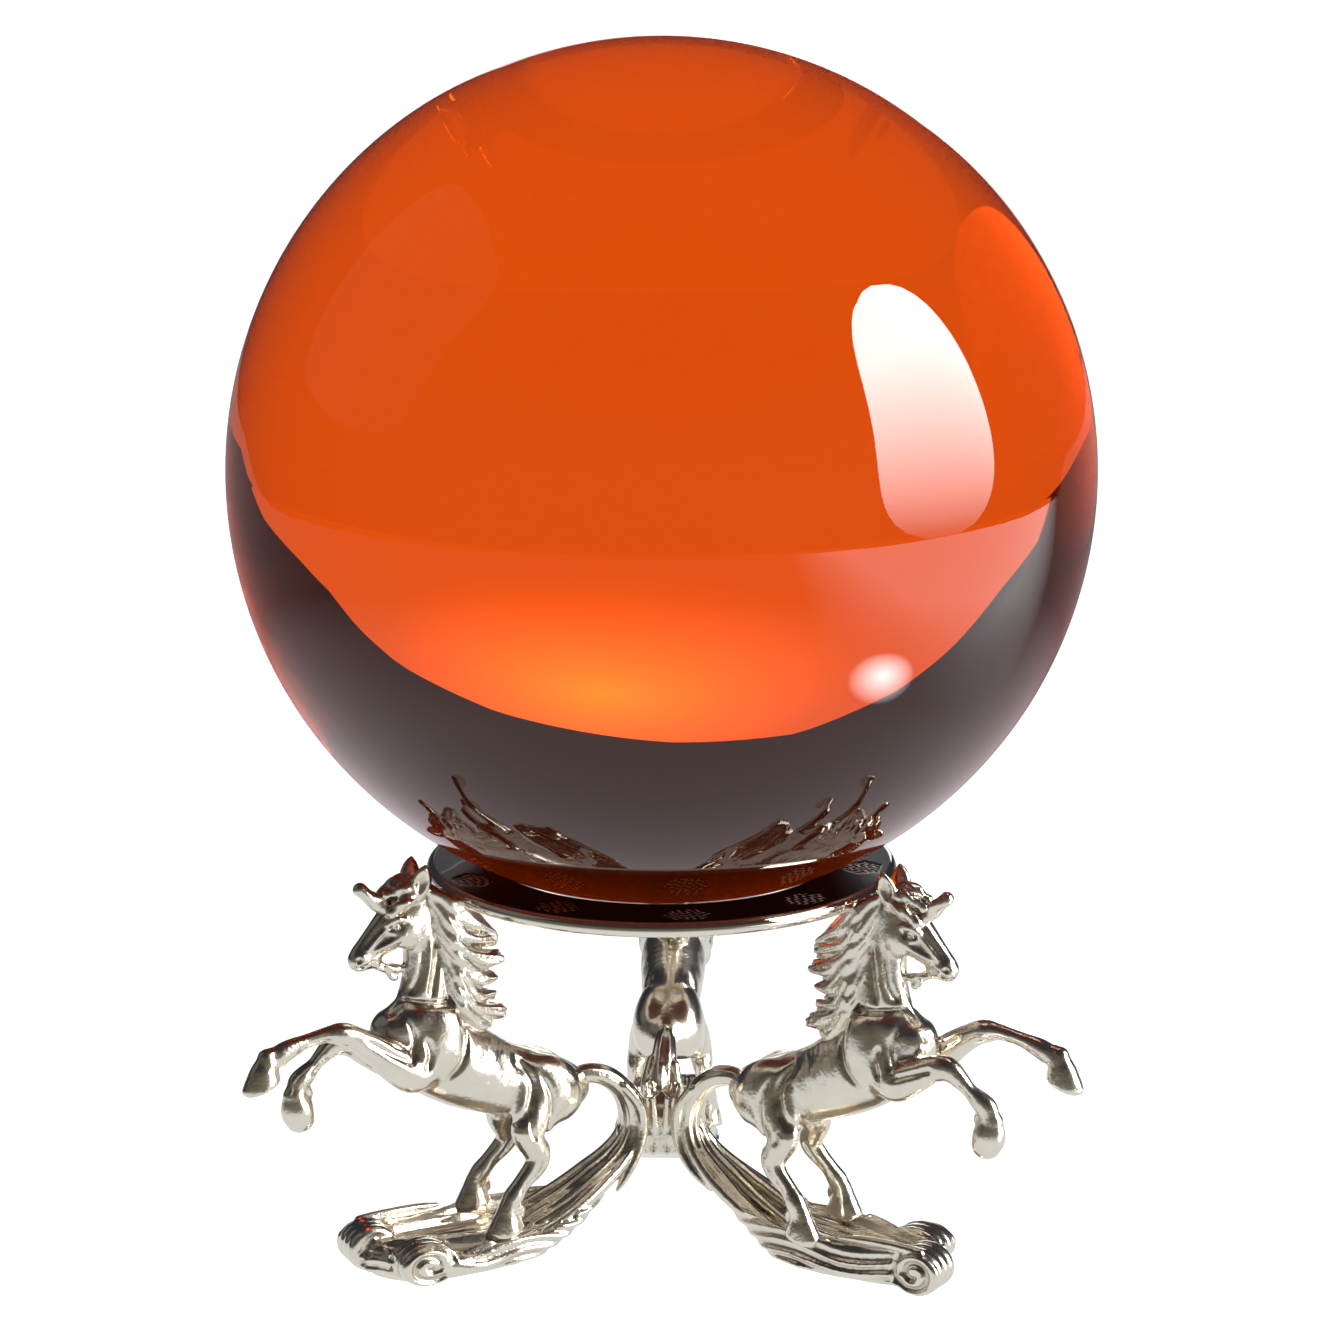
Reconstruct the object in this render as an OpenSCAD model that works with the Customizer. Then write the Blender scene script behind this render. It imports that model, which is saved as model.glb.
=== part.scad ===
// Crystal ball on a cast stand: a solid glass ball rests in a ring carried by
// three rearing unicorns, whose tails meet at a central hub and run out into
// three low wave-shaped feet.
//
// Frame: +Z up, z = 0 is the surface the stand rests on, and the ball, the ring
// and the hub share the Z axis. Each casting is drawn in its own coordinates:
// r outward from the stand's axis, t towards the animal's left, z up.

/* [Ball] */
// Diameter of the glass ball
ball_d = 110; // [80:1:140]
// Gap between the ball and its seat in the ring
seat_gap = 0.1; // [0.05:0.05:0.5]

/* [Ring] */
// Height of the ring's top face above the resting surface
ring_top_z = 50; // [40:0.5:65]
// Outer diameter of the ring
ring_od = 61; // [54:0.5:80]
// Diameter of the circle where the ball meets the ring's top face
seat_d = 44; // [36:0.5:48]
// Width of the spherical seat land, measured inward from the seat circle
seat_land = 2; // [1:0.5:4]
// Thickness of the ring
ring_t = 2; // [1.5:0.1:3.5]

/* [Horn] */
// Diameter of a horn where it leaves the forehead
horn_root_d = 2.3; // [1.5:0.1:3]
// Diameter of a horn just behind its blunt tip
horn_tip_d = 1.6; // [1:0.1:2.2]
// Length of a horn from the forehead to its tip
horn_l = 5.6; // [3:0.1:8]
// Length of the peg below the horn, seated in the forehead
horn_peg_l = 1.2; // [0.5:0.1:2]

/* [Feet] */
// Half-width of a foot at its widest
foot_half_w = 6.4; // [5:0.1:8]
// Radius of the rolled scroll at the outer end of a foot
scroll_r = 4.2; // [3:0.1:5.5]
// How far the feet are ground down flat, below the round of their undersides
foot_grind = 0.25; // [0.1:0.05:0.5]

/* [Hub] */
// Height of the hub's flat underside above the resting surface
hub_base_z = 9.8; // [8:0.1:12]
// Radius of the hub where the tails are soldered to it
hub_r = 3.6; // [3:0.1:6]

/* [Hidden] */
$fn = 64;
PLACES = ["front_left", "front_right", "rear"];
ANGLES = [210, 330, 90];

glass_amber = [0.80, 0.30, 0.04, 0.6];
plated_silver = [0.80, 0.79, 0.75];
plated_shade = [0.66, 0.65, 0.61];

// The castings are drawn for this ring height and ring radius, then stretched
// upwards and outwards until their manes meet the rim of the ring.
drawn_ring_top = 50;
drawn_ring_r = 30.5;
reach_scale = ring_od / 2 / drawn_ring_r;
height_scale = ring_top_z / drawn_ring_top;

ball_r = ball_d / 2;
seat_r = seat_d / 2;
// The ball's centre stands over the ring so that the seat, one gap outside the
// ball, cuts the ring's top face exactly on the seat circle.
ball_z = ring_top_z + sqrt(pow(ball_r + seat_gap, 2) - pow(seat_r, 2));
rim_bead_r = ring_t / 2;

// Where a horn leaves the forehead as drawn, and its tilt from upright
horn_root = [38.6, 0, 47.9];
horn_pitch = 49;
// Height of the hub's shoulder as drawn, its rounding and its crown
hub_shoulder_z = 19;
hub_round = 1;
hub_crown = 0.6;

// Side profile of each limb, as stations along it:
// [r, t, z, half-depth across the limb, half-width towards t]
trunk = [
    [39.2, 0, 32.6, 1.6, 1.8], [37.4, 0, 31.4, 3.9, 3.4], [33.4, 0, 28.9, 5.4, 4.4],
    [28.8, 0, 26.1, 5.5, 4.5], [24.2, 0, 23.7, 4.9, 4.2], [19.6, 0, 22.0, 4.8, 4.0],
    [15.8, 0, 21.0, 4.2, 3.7], [13.2, 0, 20.6, 2.9, 2.7], [12.0, 0, 20.5, 1.3, 1.3]
];
neck = [
    [33.4, 0, 29.6, 5.0, 3.4], [33.3, 0, 34.6, 4.3, 2.8], [33.5, 0, 39.2, 3.5, 2.3],
    [33.6, 0, 43.6, 3.0, 2.0], [33.9, 0, 47.4, 2.6, 1.9], [34.4, 0, 49.6, 1.5, 1.4]
];
head = [
    [34.4, 0, 48.2, 2.3, 1.7], [35.8, 0, 46.7, 3.5, 2.3], [37.9, 0, 44.9, 3.2, 2.1],
    [40.1, 0, 43.2, 2.3, 1.6], [42.1, 0, 41.9, 1.8, 1.45], [43.3, 0, 41.1, 1.1, 1.0]
];
forelock = [
    [34.8, 0, 49.8, 1.1, 1.3], [36.8, 0, 49.7, 1.4, 1.5], [38.6, 0, 48.9, 1.1, 1.2],
    [39.6, 0, 47.9, 0.6, 0.7]
];
left_ear = [[34.6, 1.3, 49.4, 0.9, 0.5], [34.4, 1.8, 51.6, 1.0, 0.6], [34.1, 1.9, 53.4, 0.3, 0.2]];
beard = [
    [38.9, 0, 40.6, 0.6, 0.7], [37.9, 0, 39.6, 0.6, 0.7], [36.8, 0, 38.9, 0.7, 0.7],
    [36.2, 0, 38.3, 0.5, 0.5]
];
mane = [
    [33.0, 0, 49.6, 1.1, 1.5], [31.8, 0, 47.6, 2.0, 1.9], [30.2, 0, 44.2, 2.9, 2.1],
    [28.9, 0, 40.8, 3.2, 2.1], [27.9, 0, 37.4, 3.3, 1.9], [27.0, 0, 34.4, 2.8, 1.6],
    [26.4, 0, 32.0, 1.6, 1.2]
];
mane_locks = [
    [[30.5, 0.5, 46.2, 1.6, 1.2], [26.6, 0.6, 44.3, 1.5, 1.2], [24.0, 0.5, 42.7, 0.8, 0.7]],
    [[29.0, -0.4, 43.2, 1.8, 1.4], [25.6, -0.4, 41.2, 1.8, 1.3], [22.8, -0.3, 39.8, 0.9, 0.8]],
    [[28.4, 0.3, 40.4, 1.8, 1.4], [25.6, 0.3, 38.0, 1.5, 1.2], [23.9, 0.2, 36.2, 0.7, 0.7]],
    [[27.6, 0, 37.4, 2.0, 1.4], [24.8, 0, 34.4, 1.9, 1.3], [22.0, 0, 32.2, 0.8, 0.8]]
];
reaching_foreleg = [
    [33.8, 3.0, 29.8, 3.4, 1.6], [36.4, 3.4, 26.8, 3.0, 1.9], [39.0, 3.5, 28.4, 2.6, 1.9],
    [41.8, 3.4, 31.1, 2.1, 1.7], [45.2, 3.3, 33.4, 1.8, 1.5], [47.6, 3.3, 33.8, 1.3, 1.15],
    [50.4, 3.4, 33.5, 1.15, 1.05], [52.8, 3.5, 32.8, 1.35, 1.15], [54.2, 3.6, 32.3, 1.5, 1.25],
    [55.6, 3.7, 31.7, 1.1, 1.1]
];
folded_foreleg = [
    [33.8, -3.0, 29.6, 3.4, 1.6], [36.8, -3.4, 26.9, 2.9, 1.9], [39.6, -3.5, 28.2, 2.4, 1.8],
    [42.4, -3.4, 29.8, 1.9, 1.6], [44.5, -3.3, 30.2, 1.7, 1.5], [46.1, -3.2, 29.2, 1.35, 1.2],
    [47.6, -3.1, 27.9, 1.2, 1.1], [49.0, -2.9, 26.8, 1.6, 1.2], [49.9, -2.8, 26.0, 1.7, 1.3],
    [50.2, -2.8, 24.2, 1.15, 1.1]
];
left_hind_leg = [
    [18.4, 2.2, 22.4, 4.2, 2.0], [19.6, 3.2, 19.8, 4.0, 2.3], [21.2, 4.0, 17.0, 2.3, 1.8],
    [20.0, 4.6, 13.8, 2.1, 1.5], [22.7, 5.0, 10.8, 1.5, 1.25], [24.2, 5.2, 8.8, 1.6, 1.3],
    [24.9, 5.3, 7.2, 1.25, 1.25]
];
// A hoof: half-length and half-width at its top and at its sole, its height, how
// far the sole lies ahead of the top, and the thickness of both rims
hoof_top = [1.5, 1.3];
hoof_sole = [2.7, 2];
hoof_h = 3.2;
hoof_slant = 0.9;
hoof_rim = 0.6;
// [r, t, z at the top of the hoof, pitch of its sole, toe down]
hooves = [[56.2, 3.8, 31.9, 14], [50.8, -2.7, 24.0, 60], [24.9, 5.3, 7.3, 20], [24.9, -5.3, 7.3, 20]];

tail = [
    [12.6, 0, 21.9, 1.4, 1.4], [11.0, 0, 21.9, 1.8, 1.6], [8.4, 0, 21.0, 1.9, 1.8],
    [6.0, 0, 19.2, 2.0, 2.0], [4.7, 0, 16.6, 2.1, 2.3], [4.7, 0, 13.7, 2.2, 2.6],
    [6.2, 0, 11.0, 2.2, 3.0], [9.2, 0, 8.6, 2.8, 4.2], [13.0, 0.2, 6.2, 3.6, 5.0]
];
// The same for a foot, whose half-width is a share of foot_half_w.
foot = [
    [10.8, 0.8, 7.6, 3.0, 0.52], [13.0, 1.3, 6.0, 4.2, 0.72], [16.5, 1.7, 4.5, 4.5, 0.88],
    [20.5, 1.8, 2.9, 3.1, 0.97], [25.0, 1.8, 2.3, 2.55, 1.0], [30.0, 1.7, 2.9, 3.15, 0.98],
    [35.0, 1.6, 3.4, 3.65, 0.98], [38.6, 1.3, 3.9, 3.9, 0.92], [41.4, 0.8, 4.2, 3.4, 0.7]
];
// [r, t of the middle, share of scroll_r, half-length along t]
scrolls = [[40.8, -1.6, 1.0, 3.4], [37.4, 5.2, 0.94, 3.2]];

sides = 14;
fine_sides = 10;
steps = 2;

function unit(v) = v / norm(v);
function point(s) = [s[0], s[1], s[2]];
// A station a share f of the way from q to r, on the smooth curve through all four.
function between(p, q, r, s, f) =
    ((2 * q) + (r - p) * f + (2 * p - 5 * q + 4 * r - s) * pow(f, 2)
    + (3 * q - 3 * r + s - p) * pow(f, 3)) / 2;
function smooth(st, n) = let (last = len(st) - 1) concat(
    [for (i = [0:last - 1], k = [0:n - 1])
        between(st[max(i - 1, 0)], st[i], st[i + 1], st[min(i + 2, last)], k / n)],
    [st[last]]
);
function heading(st, i) = unit(point(st[min(i + 1, len(st) - 1)]) - point(st[max(i - 1, 0)]));
// One cross-section of a limb: an oval square to the limb's own direction.
function oval(st, i, n) = let (
    d = heading(st, i),
    side = unit([0, 1, 0] - d * d[1]),
    up = cross(d, side)
) [for (k = [0:n - 1]) point(st[i])
    + side * st[i][4] * cos(360 * k / n) + up * st[i][3] * sin(360 * k / n)];

// A solid limb through its stations, with n sides and flat ends.
module limb(stations, n = sides) {
    st = smooth(stations, steps);
    rings = len(st);
    polyhedron(
        points = [for (i = [0:rings - 1]) each oval(st, i, n)],
        faces = concat(
            [[for (k = [0:n - 1]) k]],
            [[for (k = [0:n - 1]) rings * n - 1 - k]],
            [for (i = [0:rings - 2], k = [0:n - 1]) let (m = (k + 1) % n)
                [i * n + m, i * n + k, (i + 1) * n + k, (i + 1) * n + m]]
        ),
        convexity = 6
    );
}

// A hoof hanging from its top: wider and further forward at the sole.
module hoof(top) {
    translate(point(top)) rotate([0, top[3], 0]) hull() {
        scale([hoof_top[0], hoof_top[1], hoof_rim]) cylinder(r = 1, h = 1, $fn = 20);
        translate([hoof_slant, 0, -hoof_h])
            scale([hoof_sole[0], hoof_sole[1], hoof_rim]) cylinder(r = 1, h = 1, $fn = 20);
    }
}

// The three castings stand round the axis.
module casting_place(i) {
    rotate([0, 0, ANGLES[i]]) children();
}

// What is drawn for the standard ring, stretched to meet this one.
module stretched() {
    scale([reach_scale, 1, height_scale]) children();
}

module mirror_left() {
    children();
    mirror([0, 1, 0]) children();
}

module crystal_ball() {
    color(glass_amber) translate([0, 0, ball_z]) sphere(ball_r, $fn = 160);
}

module cradle_ring() {
    color(plated_silver) difference() {
        union() {
            translate([0, 0, ring_top_z - ring_t]) cylinder(r = ring_od / 2 - rim_bead_r, h = ring_t, $fn = 128);
            translate([0, 0, ring_top_z - rim_bead_r]) rotate_extrude($fn = 128)
                translate([ring_od / 2 - rim_bead_r, 0]) circle(rim_bead_r, $fn = 32);
        }
        translate([0, 0, ring_top_z - 2 * ring_t]) cylinder(r = seat_r - seat_land, h = 3 * ring_t, $fn = 128);
        translate([0, 0, ball_z]) sphere(ball_r + seat_gap, $fn = 160);
    }
}

module centre_hub() {
    shoulder_z = hub_shoulder_z * height_scale;
    color(plated_shade) rotate_extrude() polygon([
        [0, hub_base_z], [hub_r - hub_round, hub_base_z], [hub_r, hub_base_z + hub_round],
        [hub_r, shoulder_z - hub_round], [hub_r - hub_round, shoulder_z], [0, shoulder_z + hub_crown]
    ]);
}

module unicorn(i) {
    color(plated_silver) casting_place(i) stretched() union() {
        limb(trunk);
        limb(neck);
        limb(head);
        limb(forelock, fine_sides);
        mirror_left() limb(left_ear, fine_sides);
        limb(beard, fine_sides);
        limb(mane);
        for (lock = mane_locks) limb(lock, fine_sides);
        limb(reaching_foreleg);
        limb(folded_foreleg);
        mirror_left() limb(left_hind_leg);
        for (top = hooves) hoof(top);
    }
}

// A horn stands on a peg that is seated in the forehead.
module horn(i) {
    tip_r = horn_tip_d / 2;
    root = [horn_root[0] * reach_scale, horn_root[1], horn_root[2] * height_scale];
    color(plated_silver) casting_place(i) translate(root) rotate([0, horn_pitch, 0]) {
        translate([0, 0, -horn_peg_l]) cylinder(r = tip_r, h = horn_peg_l + 0.2, $fn = 32);
        cylinder(r1 = horn_root_d / 2, r2 = tip_r, h = horn_l - tip_r, $fn = 32);
        translate([0, 0, horn_l - tip_r]) sphere(tip_r, $fn = 32);
    }
}

module scroll(s) {
    r = s[2] * scroll_r;
    translate([s[0] * reach_scale, s[1], r - foot_grind]) scale([r, s[3], r]) sphere(1, $fn = 20);
}

module tail_and_foot(i) {
    wide_foot = [for (s = foot) [s[0], s[1], s[2], s[3], s[4] * foot_half_w]];
    reach = 120;
    color(plated_shade) casting_place(i) difference() {
        union() {
            stretched() {
                limb(tail);
                limb(wide_foot);
            }
            for (s = scrolls) scroll(s);
        }
        translate([0, 0, -reach / 2]) cube(reach, center = true);
    }
}

crystal_ball();
cradle_ring();
centre_hub();
for (i = [0:2]) {
    unicorn(i);
    horn(i);
    tail_and_foot(i);
}
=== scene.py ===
"""Crystal ball on a stand of three rearing unicorns, laid out as a Blender add-on.

The CAD model is loaded first as a fixed frame, and every piece here is built round it. Lengths
are in metres in Blender and in millimetres in the casting tables below. A casting has its own
coordinates: r outward from the stand's axis, t towards the animal's left, z up.
"""

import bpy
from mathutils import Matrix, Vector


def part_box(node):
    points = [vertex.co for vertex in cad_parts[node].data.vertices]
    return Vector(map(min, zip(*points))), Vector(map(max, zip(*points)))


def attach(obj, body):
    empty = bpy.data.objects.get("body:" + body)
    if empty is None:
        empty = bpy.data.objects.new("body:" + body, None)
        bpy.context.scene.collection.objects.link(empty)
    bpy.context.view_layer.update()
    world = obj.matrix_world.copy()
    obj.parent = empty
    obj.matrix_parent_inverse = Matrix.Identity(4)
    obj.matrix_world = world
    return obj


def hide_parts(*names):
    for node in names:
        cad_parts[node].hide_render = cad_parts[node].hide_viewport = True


bl_info = {
    "name": "Crystal Ball on a Unicorn Stand",
    "version": (1, 0, 0),
    "blender": (4, 5, 0),
    "location": "3D View > Sidebar > Crystal Ball",
    "description": "Builds a glass ball and its silver-plated unicorn stand",
    "category": "Add Mesh",
}

import math

import bpy
import numpy as np
from mathutils import Vector

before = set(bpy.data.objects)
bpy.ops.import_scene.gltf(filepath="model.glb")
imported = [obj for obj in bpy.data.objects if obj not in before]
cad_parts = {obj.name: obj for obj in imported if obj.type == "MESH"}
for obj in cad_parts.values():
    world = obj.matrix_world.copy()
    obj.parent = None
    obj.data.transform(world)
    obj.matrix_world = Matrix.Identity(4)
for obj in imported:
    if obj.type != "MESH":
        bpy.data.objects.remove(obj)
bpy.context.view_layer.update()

MM = 0.001
FAR = 9.0
TURNS = {"front_left": 210, "front_right": 330, "rear": 90}

BALL_LOW, BALL_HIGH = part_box("crystal_ball")
BALL_RADIUS = (BALL_HIGH.z - BALL_LOW.z) / 2
BALL_CENTRE = (BALL_LOW + BALL_HIGH) / 2
RING_LOW, RING_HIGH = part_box("cradle_ring")
RING_RADIUS = (RING_HIGH.x - RING_LOW.x) / 2
RING_TOP = RING_HIGH.z / MM
RING_EDGE = RING_RADIUS / MM
RING_THICK = (RING_HIGH.z - RING_LOW.z) / MM


# ---------------------------------------------------------------- casting clay


def unit(v):
    """A direction at length 1."""
    return v / max(np.linalg.norm(v), 1e-9)


def flow(points, count):
    """A Catmull-Rom curve through rows of numbers, with count steps between each pair."""
    p = np.array(points, float)
    last = len(p) - 1
    rows = []
    for i in range(last):
        a, b, c, d = p[max(i - 1, 0)], p[i], p[i + 1], p[min(i + 2, last)]
        square, cube = 2 * a - 5 * b + 4 * c - d, 3 * b - 3 * c + d - a
        rows += [(2 * b + (c - a) * f + square * f**2 + cube * f**3) / 2 for f in np.arange(count) / count]
    return np.array(rows + [p[last]])


def merge(a, b, blend):
    """The smooth union of two distances, filleted over blend."""
    h = np.clip(0.5 + 0.5 * (b - a) / blend, 0, 1)
    return b + (a - b) * h - blend * h * (1 - h)


def oval_distance(x, y, z, a, b, c):
    """Near the surface, the distance to an oval of half-axes a, b, c."""
    k0 = np.sqrt((x / a) ** 2 + (y / b) ** 2 + (z / c) ** 2)
    k1 = np.sqrt((x / a**2) ** 2 + (y / b**2) ** 2 + (z / c**2) ** 2)
    return k0 * (k0 - 1) / np.maximum(k1, 1e-3)


# Rounding of the edge between a hoof's wall and its sole, and the run over which a groove fades in
SOLE_ROUNDING = 0.35
GROOVE_FADE = 0.6


class Clay:
    """Casting metal on a grid of signed distances, in millimetres, that limbs are added to."""

    def __init__(self, low, high, pitch):
        self.low = np.array(low, float)
        self.pitch = pitch
        self.shape = np.ceil((np.array(high, float) - self.low) / pitch).astype(int) + 1
        self.field = np.full(self.shape, FAR, np.float32)

    def window(self, low, high):
        """The part of the grid inside a box, as slices and three broadcastable coordinates."""
        first = np.clip(np.floor((np.array(low) - self.low) / self.pitch).astype(int), 0, self.shape - 1)
        last = np.clip(np.ceil((np.array(high) - self.low) / self.pitch).astype(int) + 1, 1, self.shape)
        axes = [self.low[k] + self.pitch * np.arange(first[k], last[k]) for k in range(3)]
        grid = (axes[0][:, None, None], axes[1][None, :, None], axes[2][None, None, :])
        return tuple(slice(first[k], last[k]) for k in range(3)), grid

    def work(self, part, distance, blend, cut=False):
        """Adds a shape to one part of the grid, or cuts it out, with a fillet."""
        if cut:
            self.field[part] = -merge(-self.field[part], distance, blend)
        else:
            self.field[part] = merge(self.field[part], distance, blend)

    def tube(self, stations, blend=0.5, steps=6, cut=False, sole=None):
        """A limb through stations [r, t, z, depth, width], merged with a fillet, or cut out.

        A sole, given as the direction that it faces, cuts the limb's end flat.
        """
        s = flow(stations, steps)
        reach = s[:, 3:5].max(1)
        margin = blend + 3 * self.pitch
        room = reach.max() + margin
        where, _ = self.window(s[:, :3].min(0) - room, s[:, :3].max(0) + room)
        limb = np.full(self.field[where].shape, FAR, np.float32)
        base = [w.start for w in where]
        for i in range(len(s) - 1):
            a, b = s[i, :3], s[i + 1, :3]
            length = np.linalg.norm(b - a)
            if length < 1e-6:
                continue
            d = (b - a) / length
            side = unit(np.array([0.0, 1.0, 0.0]) - d * d[1])
            up = np.cross(d, side)
            grow = max(reach[i], reach[i + 1]) + margin
            part, (x, y, z) = self.window(np.minimum(a, b) - grow, np.maximum(a, b) + grow)
            x, y, z = x - a[0], y - a[1], z - a[2]
            along = x * d[0] + y * d[1] + z * d[2]
            h = np.clip(along / length, 0, 1)
            depth = s[i, 3] + (s[i + 1, 3] - s[i, 3]) * h
            width = s[i, 4] + (s[i + 1, 4] - s[i, 4]) * h
            beyond = along - h * length
            across, above = (x * v[0] + y * v[1] + z * v[2] for v in (side, up))
            distance = oval_distance(across, above, beyond, width, depth, np.minimum(width, depth))
            if sole is not None:
                end = s[-1, :3] - a
                over = (x - end[0]) * sole[0] + (y - end[1]) * sole[1] + (z - end[2]) * sole[2]
                distance = -merge(-distance, -over, SOLE_ROUNDING)
            inner = tuple(slice(part[k].start - base[k], part[k].stop - base[k]) for k in range(3))
            limb[inner] = np.minimum(limb[inner], distance)
        self.work(where, limb, blend, cut)

    def lump(self, centre, radii, blend=0.8, tilt=0.0, cut=False):
        """An oval swelling or hollow, tilted by degrees nose down about the t axis."""
        reach = max(radii) + blend + 2 * self.pitch
        c = np.array(centre, float)
        part, (x, y, z) = self.window(c - reach, c + reach)
        x, y, z = x - c[0], y - c[1], z - c[2]
        co, si = math.cos(math.radians(tilt)), math.sin(math.radians(tilt))
        self.work(part, oval_distance(x * co - z * si, y, x * si + z * co, *radii), blend, cut)

    def roll(self, centre, radius, half, stretch, rounding, blend=0.5):
        """A drum with rounded edges whose axis runs along t, drawn out along r by its stretch."""
        reach = radius * stretch + half + blend + 2 * self.pitch
        c = np.array(centre, float)
        part, (x, y, z) = self.window(c - reach, c + reach)
        out = np.hypot((x - c[0]) / stretch, z - c[2]) - (radius - rounding)
        side = np.abs(y - c[1]) - (half - rounding)
        corner = np.hypot(np.maximum(out, 0), np.maximum(side, 0))
        self.work(part, np.minimum(np.maximum(out, side), 0) + corner - rounding, blend)

    def engrave(self, line, width, depth, sides, low_t):
        """A groove drawn on the flanks along a side-view line of [r, z]; raised where depth is below 0."""
        p = flow(line, 6)
        part, (x, _, z) = self.window(
            [p[:, 0].min() - 3 * width, -99, p[:, 1].min() - 3 * width],
            [p[:, 0].max() + 3 * width, 99, p[:, 1].max() + 3 * width],
        )
        offset = depth * stroke(x[:, 0, :], z[:, 0, :], p, width)
        y = self.low[1] + self.pitch * np.arange(self.shape[1])
        for side in sides:
            shown = np.clip((y * side - low_t) / GROOVE_FADE, 0, 1)[None, :, None]
            self.field[part] += (offset[:, None, :] * shown).astype(np.float32)

    def grind(self, level):
        """Cuts everything below a level off flat."""
        part, (_, _, z) = self.window(self.low, [*(self.low + self.pitch * self.shape)[:2], level + 3])
        self.field[part] = np.maximum(self.field[part], level - z)

    def skin(self, polish=2):
        """The surface as vertices in millimetres and quads: one vertex in each cell that it crosses."""
        f = self.field
        f[[0, -1]], f[:, [0, -1]], f[:, :, [0, -1]] = FAR, FAR, FAR
        corners = [(i, j, k) for i in (0, 1) for j in (0, 1) for k in (0, 1)]
        n = np.array(f.shape) - 1
        inside = f < 0
        count = sum(
            inside[i : n[0] + i, j : n[1] + j, k : n[2] + k].astype(np.int8) for i, j, k in corners
        )
        cells = np.argwhere((count > 0) & (count < 8))
        index = np.full(n, -1, np.int64)
        index[tuple(cells.T)] = np.arange(len(cells))
        total, hits = np.zeros((len(cells), 3)), np.zeros(len(cells))
        for a in corners:
            for axis in range(3):
                if a[axis]:
                    continue
                b = tuple(v + (k == axis) for k, v in enumerate(a))
                fa = f[tuple((cells + a).T)].astype(float)
                fb = f[tuple((cells + b).T)].astype(float)
                crossed = (fa < 0) != (fb < 0)
                share = np.where(crossed, fa / np.where(crossed, fa - fb, 1), 0)
                point = np.array(a, float) + share[:, None] * (np.array(b) - np.array(a))
                total += point * crossed[:, None]
                hits += crossed
        points = self.low + self.pitch * (cells + total / hits[:, None])
        faces = []
        for axis in range(3):
            u, v = (axis + 1) % 3, (axis + 2) % 3
            here = inside.take(range(n[axis]), axis)
            there = inside.take(range(1, n[axis] + 1), axis)
            edges = np.argwhere(here != there)
            for k in (u, v):
                edges = edges[(edges[:, k] > 0) & (edges[:, k] < n[k])]
            leaving = here[tuple(edges.T)]
            ring = []
            for du, dv in ((1, 1), (0, 1), (0, 0), (1, 0)):
                c = edges.copy()
                c[:, u] -= du
                c[:, v] -= dv
                ring.append(index[tuple(c.T)])
            quads = np.stack(ring, 1)
            quads[~leaving] = quads[~leaving][:, ::-1]
            faces.append(quads)
        faces = np.concatenate(faces)
        for _ in range(polish):
            points = relax(points, faces, 0.5)
        return points, faces


def stroke(x, z, line, width):
    """1 on a side-view line, fading to 0 across width, and towards the line's two ends."""
    nearest = np.full(np.broadcast(x, z).shape, 1e9)
    share = np.zeros(nearest.shape)
    for i in range(len(line) - 1):
        a, d = line[i], line[i + 1] - line[i]
        h = np.clip(((x - a[0]) * d[0] + (z - a[1]) * d[1]) / max(d @ d, 1e-9), 0, 1)
        away = (x - a[0] - h * d[0]) ** 2 + (z - a[1] - h * d[1]) ** 2
        closer = away < nearest
        nearest = np.where(closer, away, nearest)
        share = np.where(closer, (i + h) / (len(line) - 1), share)
    ends = np.clip(np.minimum(share, 1 - share) * 6, 0, 1)
    return np.exp(-nearest / width**2) * (0.25 + 0.75 * ends)


def neighbours_mean(values, faces):
    """At each vertex, the mean of values over the vertices that share an edge with it."""
    total = np.zeros(values.shape)
    count = np.zeros(len(values))
    for k in range(4):
        a, b = faces[:, k], faces[:, (k + 1) % 4]
        for one, other in ((a, b), (b, a)):
            if values.ndim == 1:
                total += np.bincount(one, values[other], len(values))
            else:
                for c in range(values.shape[1]):
                    total[:, c] += np.bincount(one, values[other, c], len(values))
            count += np.bincount(one, minlength=len(values))
    count = np.maximum(count, 1)
    return total / (count if values.ndim == 1 else count[:, None])


def relax(points, faces, amount):
    """Moves each vertex by a share of the way towards its neighbours' mean."""
    return points + amount * (neighbours_mean(points, faces) - points)


# Depth of a hollow, in millimetres, that counts as fully hollow
FULL_HOLLOW = 0.12


def hollow_patina_and_painted_top(points, faces):
    """How far each vertex lies in a hollow: 0 on ridges and open faces, 1 at the bottom of a groove."""
    a, b, c = points[faces[:, 0]], points[faces[:, 1]], points[faces[:, 3]]
    normal = np.cross(b - a, c - a)
    summed = np.zeros(points.shape)
    for k in range(4):
        for axis in range(3):
            summed[:, axis] += np.bincount(faces[:, k], normal[:, axis], len(points))
    summed /= np.maximum(np.linalg.norm(summed, axis=1), 1e-12)[:, None]
    mean = points
    for _ in range(4):
        mean = neighbours_mean(mean, faces)
    hollow = ((mean - points) * summed).sum(1)
    for _ in range(3):
        hollow = neighbours_mean(hollow, faces)
    return np.clip(hollow / FULL_HOLLOW, -1, 1)


# ---------------------------------------------------------------- meshes and pieces


def mesh_object(name, points, faces, shades=None):
    """A smooth-shaded object from points in millimetres, with a value at each point for each shade."""
    mesh = bpy.data.meshes.new(name)
    mesh.from_pydata((points * MM).tolist(), [], faces if isinstance(faces, list) else faces.tolist())
    for attribute, values in (shades or {}).items():
        mesh.attributes.new(attribute, "FLOAT", "POINT").data.foreach_set("value", values.astype(np.float32))
    mesh.polygons.foreach_set("use_smooth", [True] * len(mesh.polygons))
    mesh.update()
    piece = bpy.data.objects.new(name, mesh)
    bpy.context.scene.collection.objects.link(piece)
    return piece


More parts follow.
